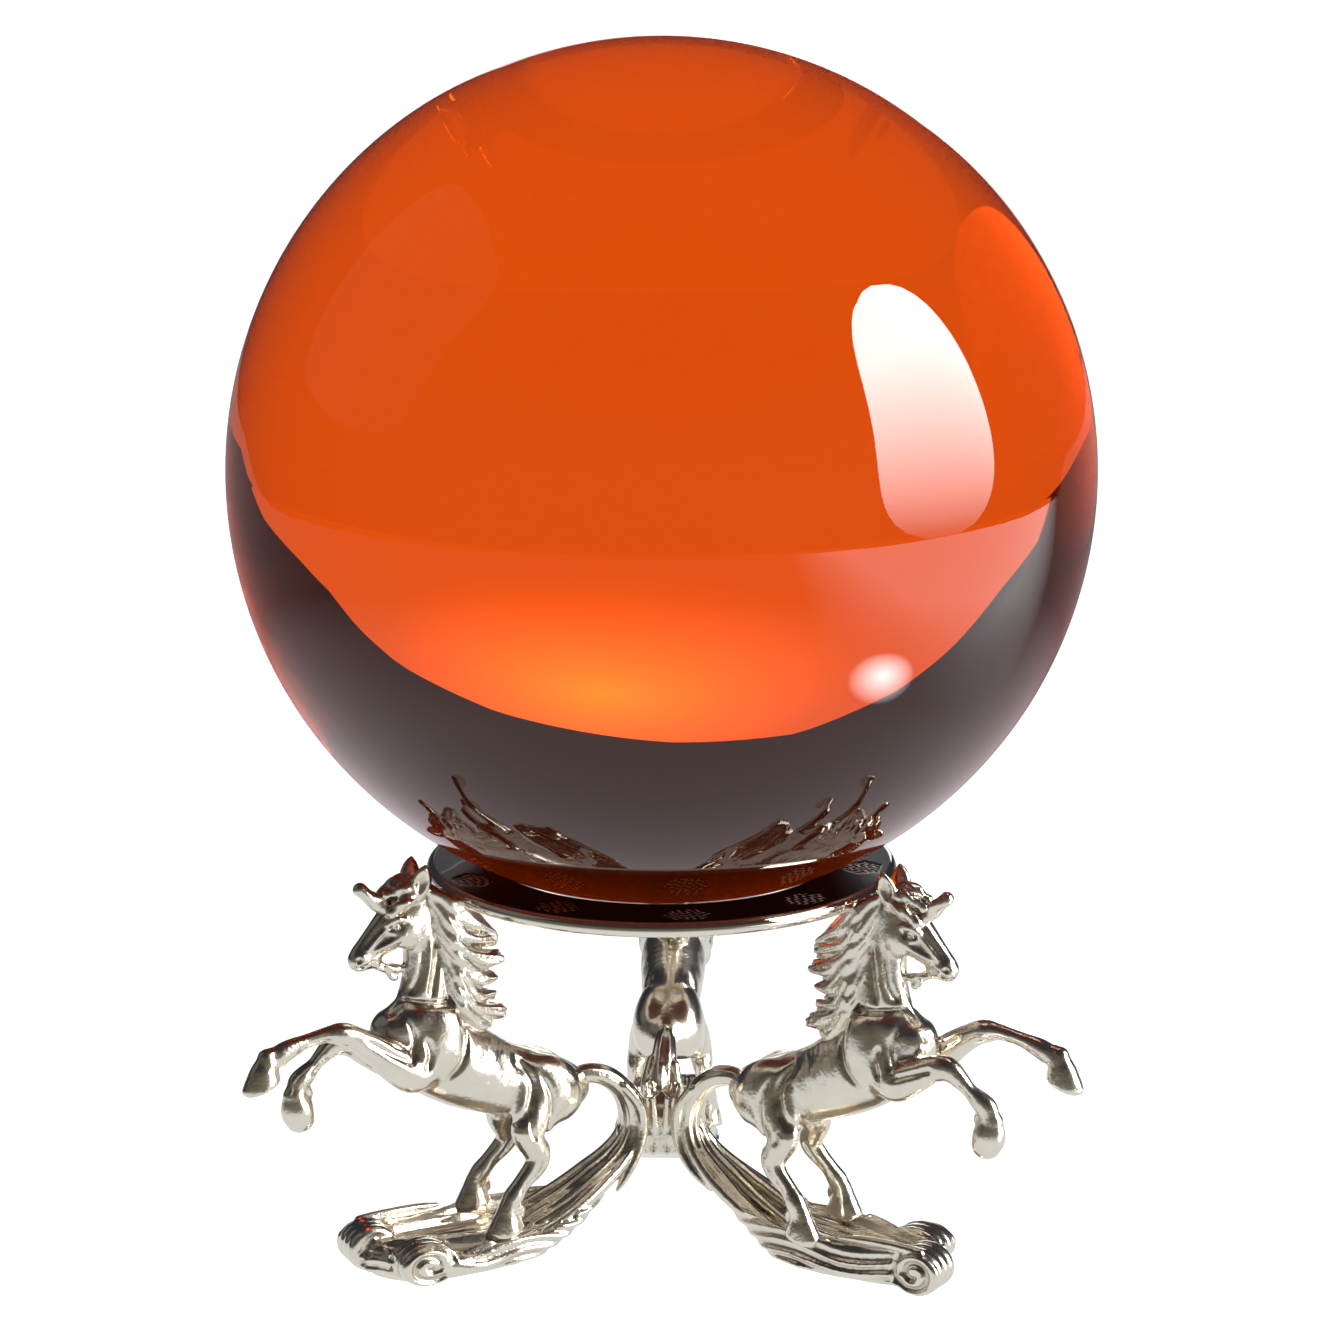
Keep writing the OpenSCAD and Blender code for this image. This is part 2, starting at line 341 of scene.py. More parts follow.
def place(piece, body, slot, *nodes):
    """Puts a finished piece on its body and hides the CAD nodes that it stands for. The slot is not used."""
    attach(piece, body)
    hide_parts(*nodes)


def turned(points, degrees):
    """Casting coordinates turned to a casting's place round the axis."""
    c, s = math.cos(math.radians(degrees)), math.sin(math.radians(degrees))
    out = np.array(points, float)
    r, t = out[:, 0].copy(), out[:, 1].copy()
    out[:, 0], out[:, 1] = r * c - t * s, r * s + t * c
    return out


def mirrored(stations, side):
    """The same limb on the left, side 1, or on the right, side -1."""
    out = np.array(stations, float)
    out[:, 1] *= side
    return out


# ---------------------------------------------------------------- the unicorn

TRUNK = [
    [39.2, 0, 32.6, 1.6, 1.8], [37.4, 0, 31.4, 3.9, 3.2], [33.4, 0, 28.9, 5.4, 4.3],
    [28.8, 0, 26.1, 5.5, 4.5], [24.2, 0, 23.7, 4.9, 4.1], [19.6, 0, 22.0, 4.6, 3.6],
    [15.8, 0, 21.0, 4.0, 3.2], [13.2, 0, 20.6, 2.7, 2.3], [12.2, 0, 20.5, 1.3, 1.3],
]
NECK = [
    [33.6, 0, 29.6, 4.8, 3.6], [33.6, 0, 34.6, 3.9, 3.0], [33.5, 0, 39.2, 3.0, 2.45],
    [33.8, 0, 43.6, 2.6, 2.05], [34.2, 0, 47.2, 2.2, 1.8], [34.7, 0, 49.2, 1.4, 1.4],
]
HEAD = [
    [34.6, 0, 48.2, 2.1, 1.6], [36.0, 0, 47.1, 2.9, 2.0], [38.1, 0, 45.3, 2.7, 1.75],
    [40.2, 0, 43.7, 1.95, 1.3], [41.8, 0, 42.4, 1.55, 1.2], [42.5, 0, 41.9, 1.35, 1.2],
]
REACHING_LEG = [
    [33.6, 3.0, 30.4, 2.6, 1.4], [36.2, 3.4, 27.2, 2.6, 1.8], [38.8, 3.5, 28.3, 2.35, 1.8],
    [41.8, 3.4, 31.0, 1.9, 1.55], [44.6, 3.3, 33.0, 1.55, 1.3], [46.2, 3.3, 33.7, 1.5, 1.35],
    [48.2, 3.3, 33.9, 1.05, 0.95], [51.0, 3.4, 33.5, 0.95, 0.85], [53.2, 3.5, 32.9, 1.25, 1.05],
    [54.6, 3.6, 32.3, 1.35, 1.15], [55.8, 3.7, 31.6, 1.0, 1.0],
]
FOLDED_LEG = [
    [33.6, -3.0, 30.2, 2.6, 1.4], [36.6, -3.4, 27.2, 2.5, 1.8], [39.4, -3.5, 28.2, 2.2, 1.7],
    [42.2, -3.4, 29.8, 1.75, 1.45], [44.4, -3.3, 30.3, 1.6, 1.4], [45.9, -3.2, 29.4, 1.25, 1.15],
    [47.5, -3.1, 28.0, 0.95, 0.9], [48.9, -2.9, 26.8, 1.35, 1.1], [49.9, -2.8, 25.9, 1.4, 1.15],
    [50.3, -2.8, 24.3, 1.0, 1.0],
]
HIND_LEG = [
    [18.2, 2.0, 22.6, 3.6, 1.8], [19.6, 3.1, 19.8, 3.7, 2.1], [21.2, 4.0, 17.0, 2.3, 1.8],
    [20.2, 4.6, 14.2, 1.75, 1.35], [20.6, 4.8, 12.6, 1.5, 1.2], [22.7, 5.0, 10.5, 1.15, 1.05],
    [24.0, 5.2, 8.8, 1.4, 1.2], [24.9, 5.3, 7.2, 1.1, 1.1],
]
# Hooves as [r, t, z at the coronet, pitch of the sole in degrees, toe down, and reach of the toe ahead]
HOOVES = [[56.4, 3.7, 31.7, 21, 1.7], [24.9, 5.3, 7.2, 14, 0.7], [24.9, -5.3, 7.2, 14, 0.7]]
# Root to tip of each lock of the mane, on the animal's middle plane
MANE = [
    [[33.4, 50.2], [31.6, 48.8], [29.2, 46.6], [26.8, 45.0], [24.6, 43.3]],
    [[33.4, 49.2], [31.4, 46.8], [29.2, 44.2], [26.4, 42.8], [24.2, 42.6]],
    [[32.6, 47.2], [31.0, 44.4], [28.8, 41.6], [26.2, 40.2], [23.4, 40.0]],
    [[32.2, 45.0], [30.6, 42.0], [28.6, 39.2], [26.4, 37.8], [24.3, 37.5]],
    [[31.8, 42.6], [30.4, 39.6], [28.6, 36.9], [26.6, 35.5], [24.5, 35.2]],
    [[31.4, 40.2], [30.0, 37.4], [28.2, 34.8], [25.8, 33.3], [23.1, 32.7]],
    [[31.0, 37.8], [29.8, 35.4], [28.4, 33.2], [26.6, 31.9], [25.2, 31.7]],
]
FORELOCK = [
    [[34.8, 0.9, 50.6], [36.6, 1.4, 51.0], [38.0, 1.1, 50.4], [38.7, 0.6, 50.5]],
    [[35.0, -0.8, 50.6], [36.8, -1.3, 50.9], [38.4, -1.0, 50.2], [39.3, -0.5, 49.8]],
    [[35.4, 1.3, 49.8], [36.8, 1.9, 49.3], [38.2, 1.7, 48.5], [38.9, 1.2, 47.7]],
    [[35.4, -1.3, 49.8], [36.9, -1.8, 49.2], [38.3, -1.6, 48.3], [39.1, -1.1, 47.6]],
    [[34.9, 0.1, 50.9], [36.6, 0.1, 51.6], [37.9, 0.3, 51.3], [38.2, 0.5, 50.6]],
]
FORELOCK_CURLS = [
    [38.9, 0.9, 50.2], [39.3, -0.7, 49.6], [38.6, 1.6, 48.0], [38.8, -1.5, 47.8], [36.9, 0.5, 51.6],
]
# Beard under the jaw, in the same way
BEARD = [[40.2, 0, 40.9], [38.9, 0, 40.4], [37.4, 0, 40.1], [36.2, 0, 40.0], [35.2, 0, 40.2]]


def hoof(clay, r, t, z, pitch, slant):
    """A slanted hoof with a coronet band, a rounded sole and a tuft of hair behind the fetlock."""
    c, s = math.cos(math.radians(pitch)), math.sin(math.radians(pitch))
    down = (-s, 0.0, -c)

    def at(ahead, below):
        return [r + ahead * c - below * s, t, z - ahead * s - below * c]

    clay.tube([at(-0.3, -0.6) + [1.2, 1.05], at(0.0, 0.2) + [1.5, 1.3]], 0.3)
    wall = [at(0.1, 0.2) + [1.35, 1.2], at(slant * 0.5, 1.3) + [1.95, 1.6], at(slant, 2.9) + [2.5, 1.95]]
    clay.tube(wall, 0.12, sole=down)
    toe = 1.45 - 0.5 * slant
    front = [at(0.9, 0.3) + [0.5, 0.5], at(slant + 2.6 - toe, 2.6 - toe * 0.4) + [toe, toe * 1.1]]
    clay.tube(front, 0.5, sole=down)
    tuft = [at(-1.0, -0.7) + [0.85, 0.75], at(-1.7, 0.3) + [0.7, 0.6], at(-1.9, 1.2) + [0.35, 0.35]]
    clay.tube(tuft, 0.3)


def hanging_hoof(clay):
    """The hoof of the folded leg: a rounded drop below the fetlock, its hollow sole turned back."""
    fetlock = [[50.2, -2.75, 25.1, 1.2, 1.1], [50.4, -2.7, 24.4, 1.55, 1.35]]
    drop = [[50.4, -2.7, 24.2, 1.5, 1.3], [50.1, -2.7, 22.5, 2.15, 1.8], [49.7, -2.7, 21.2, 1.9, 1.7]]
    tuft = [[49.4, -2.75, 25.6, 0.8, 0.7], [48.6, -2.7, 24.6, 0.65, 0.6], [48.4, -2.7, 24.0, 0.35, 0.35]]
    clay.tube(fetlock, 0.3)
    clay.tube(drop, 0.12)
    clay.lump([47.6, -2.7, 21.8], [0.75, 1.0, 1.7], 0.25, cut=True)
    clay.tube(tuft, 0.3)


def head(clay):
    """The head with its muzzle, cheeks, eyes, nostrils and mouth, then the ears, forelock and beard."""
    clay.tube(HEAD, 1.0)
    clay.lump([42.3, 0, 41.9], [1.5, 1.35, 1.35], 0.7, 45)
    clay.lump([40.7, 0, 41.3], [1.35, 0.85, 0.7], 0.4, 20)
    clay.tube([[38.9, 0, 47.6, 0.6, 0.9], [41.0, 0, 45.3, 0.5, 0.75], [42.7, 0, 43.2, 0.5, 0.7]], 0.6)
    for side in (1, -1):
        clay.lump([36.2, side * 1.3, 45.2], [2.4, 1.15, 2.3], 0.4, 40)
        clay.tube([[37.2, side * 2.05, 45.0, 0.45, 0.4], [38.8, side * 1.8, 44.1, 0.4, 0.35],
                   [40.6, side * 1.3, 43.2, 0.3, 0.25]], 0.4)
        clay.lump([40.2, side * 1.75, 44.75], [1.5, 0.4, 0.5], 0.3, 40, cut=True)
        clay.tube([[39.3, side * 1.5, 45.9, 0.25, 0.25], [40.6, side * 1.3, 44.6, 0.25, 0.25],
                   [41.8, side * 1.15, 43.3, 0.25, 0.25]], 0.25)
        clay.lump([38.1, side * 1.95, 46.1], [1.0, 0.65, 0.75], 0.2, 40, cut=True)
        clay.lump([38.0, side * 1.6, 46.1], [0.62, 0.55, 0.5], 0.1, 40)
        clay.tube([[36.9, side * 1.9, 46.9, 0.4, 0.35], [38.0, side * 2.05, 47.15, 0.5, 0.45],
                   [39.2, side * 1.55, 46.4, 0.4, 0.35]], 0.25)
        clay.tube([[37.3, side * 2.0, 45.6, 0.25, 0.25], [38.2, side * 1.95, 45.35, 0.28, 0.25],
                   [39.0, side * 1.6, 45.5, 0.22, 0.2]], 0.2)
        clay.lump([42.6, side * 1.0, 42.3], [0.75, 0.5, 0.65], 0.3, 45)
        clay.lump([42.95, side * 1.4, 42.2], [0.42, 0.45, 0.36], 0.12, 45, cut=True)
        clay.tube([[43.3, side * 0.4, 41.2, 0.18, 0.25], [42.0, side * 1.3, 41.35, 0.18, 0.3],
                   [40.9, side * 1.2, 42.0, 0.15, 0.3]], 0.15, cut=True)
        ear(clay, side)
    for lock in FORELOCK:
        curl(clay, [p + [0.75, 0.75] for p in lock])
    for place_of_curl in FORELOCK_CURLS:
        clay.lump(place_of_curl, [0.8, 0.75, 0.7], 0.15)
    curl(clay, [p + [0.55, 0.6] for p in BEARD])
    clay.tube([[38.6, 0, 40.2, 0.4, 0.4], [38.3, 0.1, 39.3, 0.45, 0.45], [37.7, 0.1, 38.9, 0.45, 0.45],
               [37.5, 0.1, 39.5, 0.3, 0.3]], 0.2)


def ear(clay, side):
    """A leaf-shaped ear, hollow towards its outer side."""
    base, tip = np.array([35.0, side * 1.5, 49.6]), np.array([34.2, side * 2.3, 53.7])
    leaf = [[*(base + (tip - base) * f), depth, width] for f, depth, width in
            ((0, 0.9, 0.75), (0.3, 1.35, 0.8), (0.55, 1.35, 0.75), (0.8, 0.9, 0.55), (1, 0.22, 0.2))]
    clay.tube(leaf, 0.25)
    ahead = np.array([0.3, side * 0.8, 0.0])
    hollow = [[*(base + (tip - base) * f + ahead), radius, radius * 0.7] for f, radius in
              ((0.2, 0.5), (0.5, 0.95), (0.82, 0.5))]
    clay.tube(hollow, 0.1, cut=True)


def curl(clay, stations, strands=3, blend=0.14):
    """A lock of twisted strands round a line of stations that hold its half-thickness."""
    s = flow(stations, 4)
    last = len(s) - 1
    for k in range(strands):
        rows = []
        for i, row in enumerate(s):
            f = i / last
            turn = 2 * math.pi * k / strands + 5.5 * f
            offset = 0.62 * row[3] * (1 - 0.55 * f)
            ahead = unit(s[min(i + 1, last), :3] - s[max(i - 1, 0), :3])
            side = unit(np.array([0.0, 1.0, 0.0]) - ahead * ahead[1])
            up = np.cross(ahead, side)
            centre = row[:3] + offset * (side * math.cos(turn) + up * math.sin(turn))
            radius = row[3] * (0.72 - 0.3 * f**3)
            rows.append([*centre, radius, radius])
        clay.tube(rows, blend if k else 0.25, steps=2)


# Strands of one lock, as [share of its depth, share of its width, share of its length]
LOCK_STRANDS = [[-0.75, 0.1, 0.93], [-0.3, 0.75, 1.0], [0.3, 0.8, 0.95], [0.75, 0.15, 1.0], [0.0, -0.2, 0.97]]


def mane(clay):
    """Locks of wavy strands that fall from the crest on both sides and sweep in under the ring."""
    for number, lock in enumerate(MANE):
        line = flow(lock, 4)
        ahead = np.gradient(line, axis=0)
        ahead /= np.linalg.norm(ahead, axis=1)[:, None]
        f = np.linspace(0, 1, len(line))
        across = np.interp(f, [0, 0.3, 1], [1.0, 2.2, 0.8])
        thick = np.interp(f, [0, 0.35, 0.75, 1], [0.45, 0.56, 0.52, 0.3])
        for side, lean in ((1, 0.0), (-1, 0.6)):
            for k, (deep, wide, reach) in enumerate(LOCK_STRANDS):
                wave = 0.24 * np.sin(8.5 * f + 1.7 * number + 1.3 * k + lean)
                shift = deep * np.interp(f, [0, 0.4, 1], [0.6, 1.05, 0.62]) + wave
                rows = np.stack([line[:, 0] - ahead[:, 1] * shift, side * (across + 0.8 * wide + wave * 0.4),
                                 line[:, 1] + ahead[:, 0] * shift - lean * f, thick, thick], 1)
                clay.tube(rows[: math.ceil(reach * len(rows))], 0.13, 1)


def unicorn_clay(pitch):
    """The whole animal, from the trunk outwards, without its horn and tail."""
    clay = Clay([10.5, -8.5, 2.5], [60.5, 7.5, 55.5], pitch)
    clay.tube(TRUNK, 0.6)
    clay.tube(NECK, 2.4)
    clay.tube([[31.8, 0, 48.6, 1.6, 1.3], [30.6, 0, 44.2, 2.2, 1.4], [29.4, 0, 40.0, 2.4, 1.4],
               [28.6, 0, 36.6, 2.3, 1.4], [28.0, 0, 33.8, 1.8, 1.3]], 1.2)
    for side in (1, -1):
        clay.lump([32.6, side * 2.7, 31.4], [3.3, 1.8, 3.9], 1.2, -20)
        clay.lump([35.6, side * 2.2, 33.4], [2.6, 1.5, 1.7], 0.8, 30)
        clay.lump([38.0, side * 1.5, 31.8], [1.9, 1.5, 2.5], 0.6, 20)
        clay.lump([18.6, side * 2.2, 22.3], [4.3, 2.3, 4.0], 1.2, 30)
        clay.tube(mirrored(HIND_LEG, side), 1.0)
        clay.lump([16.4, side * 2.3, 21.0], [3.6, 2.5, 4.0], 1.2, 10)
    clay.tube(REACHING_LEG, 0.9)
    clay.tube(FOLDED_LEG, 0.9)
    for where in HOOVES:
        hoof(clay, *where)
    hanging_hoof(clay)
    anatomy(clay)
    head(clay)
    mane(clay)
    return clay


BOTH, LEFT, RIGHT = (1, -1), (1,), (-1,)
# Lines in the flanks and legs: [r, z] points, width, depth, the t they start from, and the sides they are on
FRONT_LINES = [
    ([[32.4, 43.6], [32.8, 40.6], [33.9, 36.2]], 0.45, 0.5, 0.6, BOTH),
    ([[34.4, 43.6], [35.0, 39.4], [36.2, 36.9]], 0.35, 0.45, 0.6, BOTH),
    ([[33.5, 43.4], [34.0, 40.0], [35.0, 36.6]], 0.3, -0.2, 0.6, BOTH),
    ([[38.9, 34.6], [37.0, 35.9], [33.5, 35.6], [30.2, 35.3]], 0.4, 0.5, 0.4, BOTH),
    ([[30.2, 34.4], [29.4, 31.4], [30.4, 28.0], [32.6, 25.6]], 0.45, 0.45, 1.5, BOTH),
    ([[35.2, 31.6], [34.8, 29.6], [35.6, 27.6]], 0.4, 0.5, 2.0, BOTH),
    ([[37.2, 34.2], [36.6, 31.4], [37.6, 28.8]], 0.35, 0.4, 1.0, BOTH),
]
HIND_LINES = [
    ([[22.4, 26.6], [20.6, 23.6], [21.4, 20.4], [23.2, 18.2]], 0.55, 0.55, 1.2, BOTH),
    ([[19.3, 24.4], [18.2, 21.4], [18.6, 17.8], [19.2, 15.6]], 0.35, 0.4, 3.0, BOTH),
    ([[21.0, 20.6], [21.4, 18.2], [21.0, 16.2]], 0.3, 0.3, 2.2, BOTH),
    ([[19.8, 13.9], [20.9, 12.0], [22.8, 9.9]], 0.25, 0.35, 2.0, BOTH),
    ([[37.0, 28.6], [40.0, 30.4], [43.4, 32.7]], 0.35, 0.4, 1.5, LEFT),
    ([[47.2, 33.4], [50.0, 33.2], [52.6, 32.6]], 0.22, 0.3, 1.5, LEFT),
    ([[37.4, 28.0], [40.4, 29.2], [43.0, 30.2]], 0.35, 0.4, 1.5, RIGHT),
    ([[46.0, 28.9], [47.2, 27.9], [48.4, 27.0]], 0.22, 0.3, 1.5, RIGHT),
]
RIBS = 3


def anatomy(clay):
    """Muscle and tendon lines on the flanks and legs, and the ribs."""
    ribs = []
    for k in range(RIBS):
        r = 26.6 - 2.4 * k
        rib = [[r + 0.8, 28.6 - 0.75 * k], [r, 26.6 - 0.6 * k], [r + 0.3, 24.2 - 0.5 * k]]
        ribs.append((rib, 0.95, 0.13, 1.0, BOTH))
    for line, width, depth, low_t, sides in FRONT_LINES + ribs + HIND_LINES:
        clay.engrave(line, width, depth, sides, low_t)


# ---------------------------------------------------------------- the tail, the foot and the hub

TAIL = [
    [12.9, 21.6], [11.0, 22.1], [8.6, 21.5], [6.4, 19.8], [5.0, 17.2], [4.7, 14.4], [5.6, 11.9],
    [7.6, 9.8], [10.2, 8.0], [13.4, 6.2], [17.0, 4.6], [20.5, 3.4],
]
# Half-widths across t of the strand bundle at those points, and its half-depths
TAIL_SPREAD = [0.7, 0.9, 1.2, 1.5, 1.8, 2.1, 2.6, 3.3, 4.1, 5.0, 5.7, 6.0]
TAIL_DEPTH = [0.9, 1.2, 1.3, 1.3, 1.3, 1.3, 1.3, 1.3, 1.3, 1.1, 0.8, 0.4]
# Plan of the foot: [r, right edge t, left edge t, height of the trough]
FOOT = [
    [9.0, -2.0, 3.2, 7.4], [11.5, -2.9, 4.8, 6.2], [14.0, -4.0, 6.2, 5.0], [17.0, -5.2, 7.2, 4.1],
    [20.5, -6.4, 7.6, 3.6], [25.0, -6.7, 7.8, 3.5], [30.0, -6.2, 7.9, 3.4], [35.0, -5.4, 7.9, 3.5],
    [38.0, -5.1, 7.4, 3.6], [40.2, -5.0, 5.2, 3.8], [41.8, -5.0, 2.6, 3.8], [43.0, -4.9, 1.6, 3.4],
]
# Raised lines on the foot, as [r, t] points with their half-width and height
FOOT_RIDGES = [
    ([[12.0, 4.4], [16.0, 6.2], [21.0, 6.9], [26.0, 7.0], [31.0, 6.8]], 0.7, 0.9),
    ([[12.0, -2.6], [16.0, -4.2], [21.0, -5.6], [27.0, -5.5], [33.0, -4.7], [39.0, -4.2], [43.0, -3.8]],
     0.7, 1.7),
    ([[25.0, -3.4], [31.0, -3.2], [36.0, -2.9], [41.0, -2.4]], 0.45, 1.1),
    ([[28.0, 2.6], [33.0, 2.0], [38.0, 1.0], [42.0, 0.2]], 0.6, 0.8),
    ([[24.0, 5.2], [28.0, 4.8], [32.0, 4.0], [37.0, 2.9], [41.5, 1.5]], 0.5, 1.3),
    ([[14.0, 2.6], [18.0, 4.4], [22.0, 5.4]], 0.4, 0.6),
    ([[13.0, 0.8], [17.0, 1.4], [21.0, 2.4]], 0.35, 0.5),
    ([[13.0, -0.9], [17.0, -1.6], [21.0, -2.6]], 0.35, 0.5),
]
FOOT_GROOVES = [
    ([[22.0, 1.4], [30.0, 0.2], [36.0, -0.4], [42.0, -0.8]], 0.3, 0.5),
    ([[24.0, -1.6], [30.0, -1.7], [36.0, -1.7], [42.0, -1.8]], 0.25, 0.4),
    ([[12.0, 3.4], [16.0, 5.3], [21.0, 6.1], [26.0, 6.1]], 0.25, 0.5),
    ([[12.0, 1.6], [15.0, 2.6], [18.5, 3.6]], 0.25, 0.45),
    ([[12.0, 0.0], [16.0, 0.1], [20.0, 0.6]], 0.25, 0.45),
]
# Rolled ends of the foot: centre [r, t, z], radius, half-length, stretch along r, and side of the coil
ROLLS = [([41.0, -2.5, 3.05], 3.0, 2.7, 1.15, -1), ([36.6, 5.6, 2.75], 2.7, 2.4, 1.4, 1)]
COIL_TURNS = 2.1
# From one groove round a roll to the next, and how far outside the roll a groove's centre lies
BAND_APART = 1.35
BAND_OUT = 0.05


def foot_height(r, t):
    """Height of the foot's upper surface over a plan grid: a trough with raised, grooved waves."""
    table = np.array(FOOT)
    right, left, height = (np.interp(r, table[:, 0], table[:, k]) for k in (1, 2, 3))
    across = (t - (right + left) / 2) / np.maximum((left - right) / 2, 0.1)
    height = height + 0.5 * np.clip(np.abs(across), 0, 1) ** 3
    combed = np.clip((r - 11) / 4, 0, 1)
    height = height + 0.16 * combed * np.cos(2 * math.pi * (3.2 * across + 0.35 * np.sin(r / 4.5)))
    for line, width, raised in FOOT_RIDGES:
        height = height + raised * stroke(r, t, flow(line, 6), width)
    for line, width, depth in FOOT_GROOVES:
        height = height - depth * stroke(r, t, flow(line, 6), width)
    return height


def rolled_end(clay):
    """The rolled ends of the foot, with strands round them and a coil cut into the side that shows."""
    for centre, radius, half, stretch, side in ROLLS:
        clay.roll(centre, radius, half, stretch, 0.7, 0.6)
        r, t, z = centre
        for k in range(int(2 * half / BAND_APART)):
            across, out = t - half + BAND_APART * (k + 0.75), radius + BAND_OUT
            band = [[r + out * stretch * math.cos(a), across, z + out * math.sin(a), 0.2, 0.28]
                    for a in np.linspace(-1.2, 2.3, 12)]
            clay.tube(band, 0.15, steps=2, cut=True)
        coil = []
        for share in np.linspace(0.12, 1, 26):
            a = 2 * math.pi * COIL_TURNS * (1 - share) + 0.6
            coil.append([r + radius * share * stretch * math.cos(a), z + radius * share * math.sin(a)])
        clay.engrave(coil, 0.32, 0.95, sides=(side,), low_t=abs(t + side * (half - 1.0)))
    clay.tube([[35.6, 7.1, 2.6, 1.1, 0.7], [33.0, 7.5, 1.9, 1.0, 0.7], [30.0, 7.8, 1.6, 0.7, 0.6],
               [27.0, 7.6, 1.9, 0.45, 0.5], [24.0, 7.2, 2.6, 0.35, 0.4]], 0.2)
    clay.tube([[30.2, -4.9, 5.6, 0.3, 0.3], [33.0, -4.6, 5.8, 0.55, 0.55], [37.5, -4.3, 5.9, 0.6, 0.6],
               [41.5, -4.2, 5.7, 0.6, 0.6]], 0.2)


def tail_strands(clay):
    """The bundle of strands that sweeps down from the rump and turns a little as it goes."""
    line = flow([[r, z, spread, depth] for (r, z), spread, depth in zip(TAIL, TAIL_SPREAD, TAIL_DEPTH)], 4)
    last = len(line) - 1
    outer = 8
    for k in range(outer + 1):
        out, thick = (0, 0.75) if k == outer else (1, 0.62)
        rows = []
        for i, (r, z, spread, depth) in enumerate(line):
            f = i / last
            ahead = unit(line[min(i + 1, last), :2] - line[max(i - 1, 0), :2])
            turn = 2 * math.pi * k / outer + 1.1 * f
            across = out * spread * math.cos(turn) * 0.78
            deep = out * depth * math.sin(turn) * 0.62
            radius = thick * (0.8 + 0.35 * spread / 2) * min(1, 2.6 - 2.2 * f)
            rows.append([r - ahead[1] * deep, across + 0.9 * f**2, z + ahead[0] * deep, radius, radius])
        clay.tube(rows, 0.14, steps=1)


def wisps(clay):
    """Strands that leave the tail: two towards the hub and one with a free tip below."""
    clay.tube([[6.2, 1.6, 20.0, 0.7, 0.7], [4.4, 2.2, 17.4, 0.75, 0.8], [3.9, 2.4, 14.6, 0.75, 0.8],
               [4.8, 2.7, 11.4, 0.7, 0.75], [6.6, 3.1, 8.6, 0.65, 0.7], [8.2, 3.4, 6.6, 0.3, 0.35]], 0.15)
    clay.tube([[5.6, -1.4, 19.6, 0.7, 0.7], [4.0, -1.8, 17.0, 0.75, 0.8], [3.6, -1.9, 14.2, 0.75, 0.8],
               [4.4, -2.0, 11.2, 0.7, 0.75], [6.6, -2.3, 8.8, 0.6, 0.7], [9.5, -2.7, 7.2, 0.5, 0.6]], 0.15)
    clay.tube([[5.0, 0.4, 19.4, 0.7, 0.8], [3.3, 0.5, 16.8, 0.75, 0.9], [2.9, 0.5, 14.0, 0.75, 0.9],
               [3.4, 0.5, 11.6, 0.65, 0.8]], 0.15)


def tail_and_foot_clay(pitch):
    """The foot as a height field with wavy walls, then its rolled ends, the tail and the wisps."""
    clay = Clay([1.5, -8.5, -0.6], [46.5, 10.0, 25.0], pitch)
    part, (r, t, z) = clay.window([8.0, -8.5, -0.6], [46.5, 10.0, 16.0])
    table = np.array(FOOT)
    flat_r, flat_t = r[:, :, 0], t[:, :, 0]
    right, left = np.interp(flat_r, table[:, 0], table[:, 1]), np.interp(flat_r, table[:, 0], table[:, 2])
    plan = np.maximum(flat_t - left, right - flat_t)
    plan = np.maximum(plan, np.maximum(flat_r - table[-1, 0], table[0, 0] - flat_r))
    height = foot_height(flat_r, flat_t)
    slope = np.hypot(*np.gradient(height, pitch))
    top = (z - height[:, :, None]) / np.sqrt(1 + slope[:, :, None] ** 2)
    layers = 0.24 * np.cos(2 * math.pi * (z - 0.6 * np.sin(r / 2.9)) / 1.35)
    wall = plan[:, :, None] + layers + 0.45 * np.clip(1.1 - z, 0, 1)
    lift = np.interp(flat_r, [9.0, 13.0, 20.0, 24.0], [6.2, 4.2, 1.0, 0.0])[:, :, None]
    body = -merge(-top, -(lift - z), 0.8)
    body = -merge(-body, -wall, 2.2)
    clay.field[part] = np.minimum(clay.field[part], body)
    rolled_end(clay)
    tail_strands(clay)
    wisps(clay)
    clay.grind(0.0)
    return clay


def hub_clay(pitch, hub_low, hub_high):
    """The boss that the three tails are soldered to: webs towards each, hollowed between them."""
    clay = Clay([-7, -7, hub_low - 1], [7, 7, hub_high + 2.4], pitch)
    waist, crown = hub_low + 2.2, hub_high - 4.6
    clay.tube([[0, 0, waist, 2.9, 2.9], [0, 0, crown, 2.2, 2.2], [0, 0, crown + 2.2, 0.8, 0.8]], 0.4)
    low_web = [[1.0, 0, waist, 2.2, 2.0], [4.8, 0, waist + 0.8, 2.0, 1.8]]
    high_web = [[1.0, 0, crown - 0.4, 2.0, 1.6], [4.8, 0, crown + 1.6, 1.5, 1.4]]
    hollow = [[4.5, 0, z, 1.5, 1.5] for z in (hub_low - 0.5, hub_high + 1.0)]
    strand = [[3.3, 0, hub_high - 1.6, 0.4, 0.4], [2.7, 0, crown - 0.6, 0.55, 0.55],
              [2.6, 0, waist + 0.6, 0.55, 0.55], [3.2, 0, hub_low + 0.6, 0.4, 0.4]]
    for degrees in TURNS.values():
        clay.tube(turned(low_web, degrees), 1.4)
        clay.tube(turned(high_web, degrees), 1.4)
        clay.tube(turned(hollow, degrees + 60), 0.6, cut=True)
        for lean in (-44, -26, 26, 44):
            clay.tube(turned(strand, degrees + lean), 0.2)
    clay.grind(hub_low)
    return clay


# ---------------------------------------------------------------- shader maths


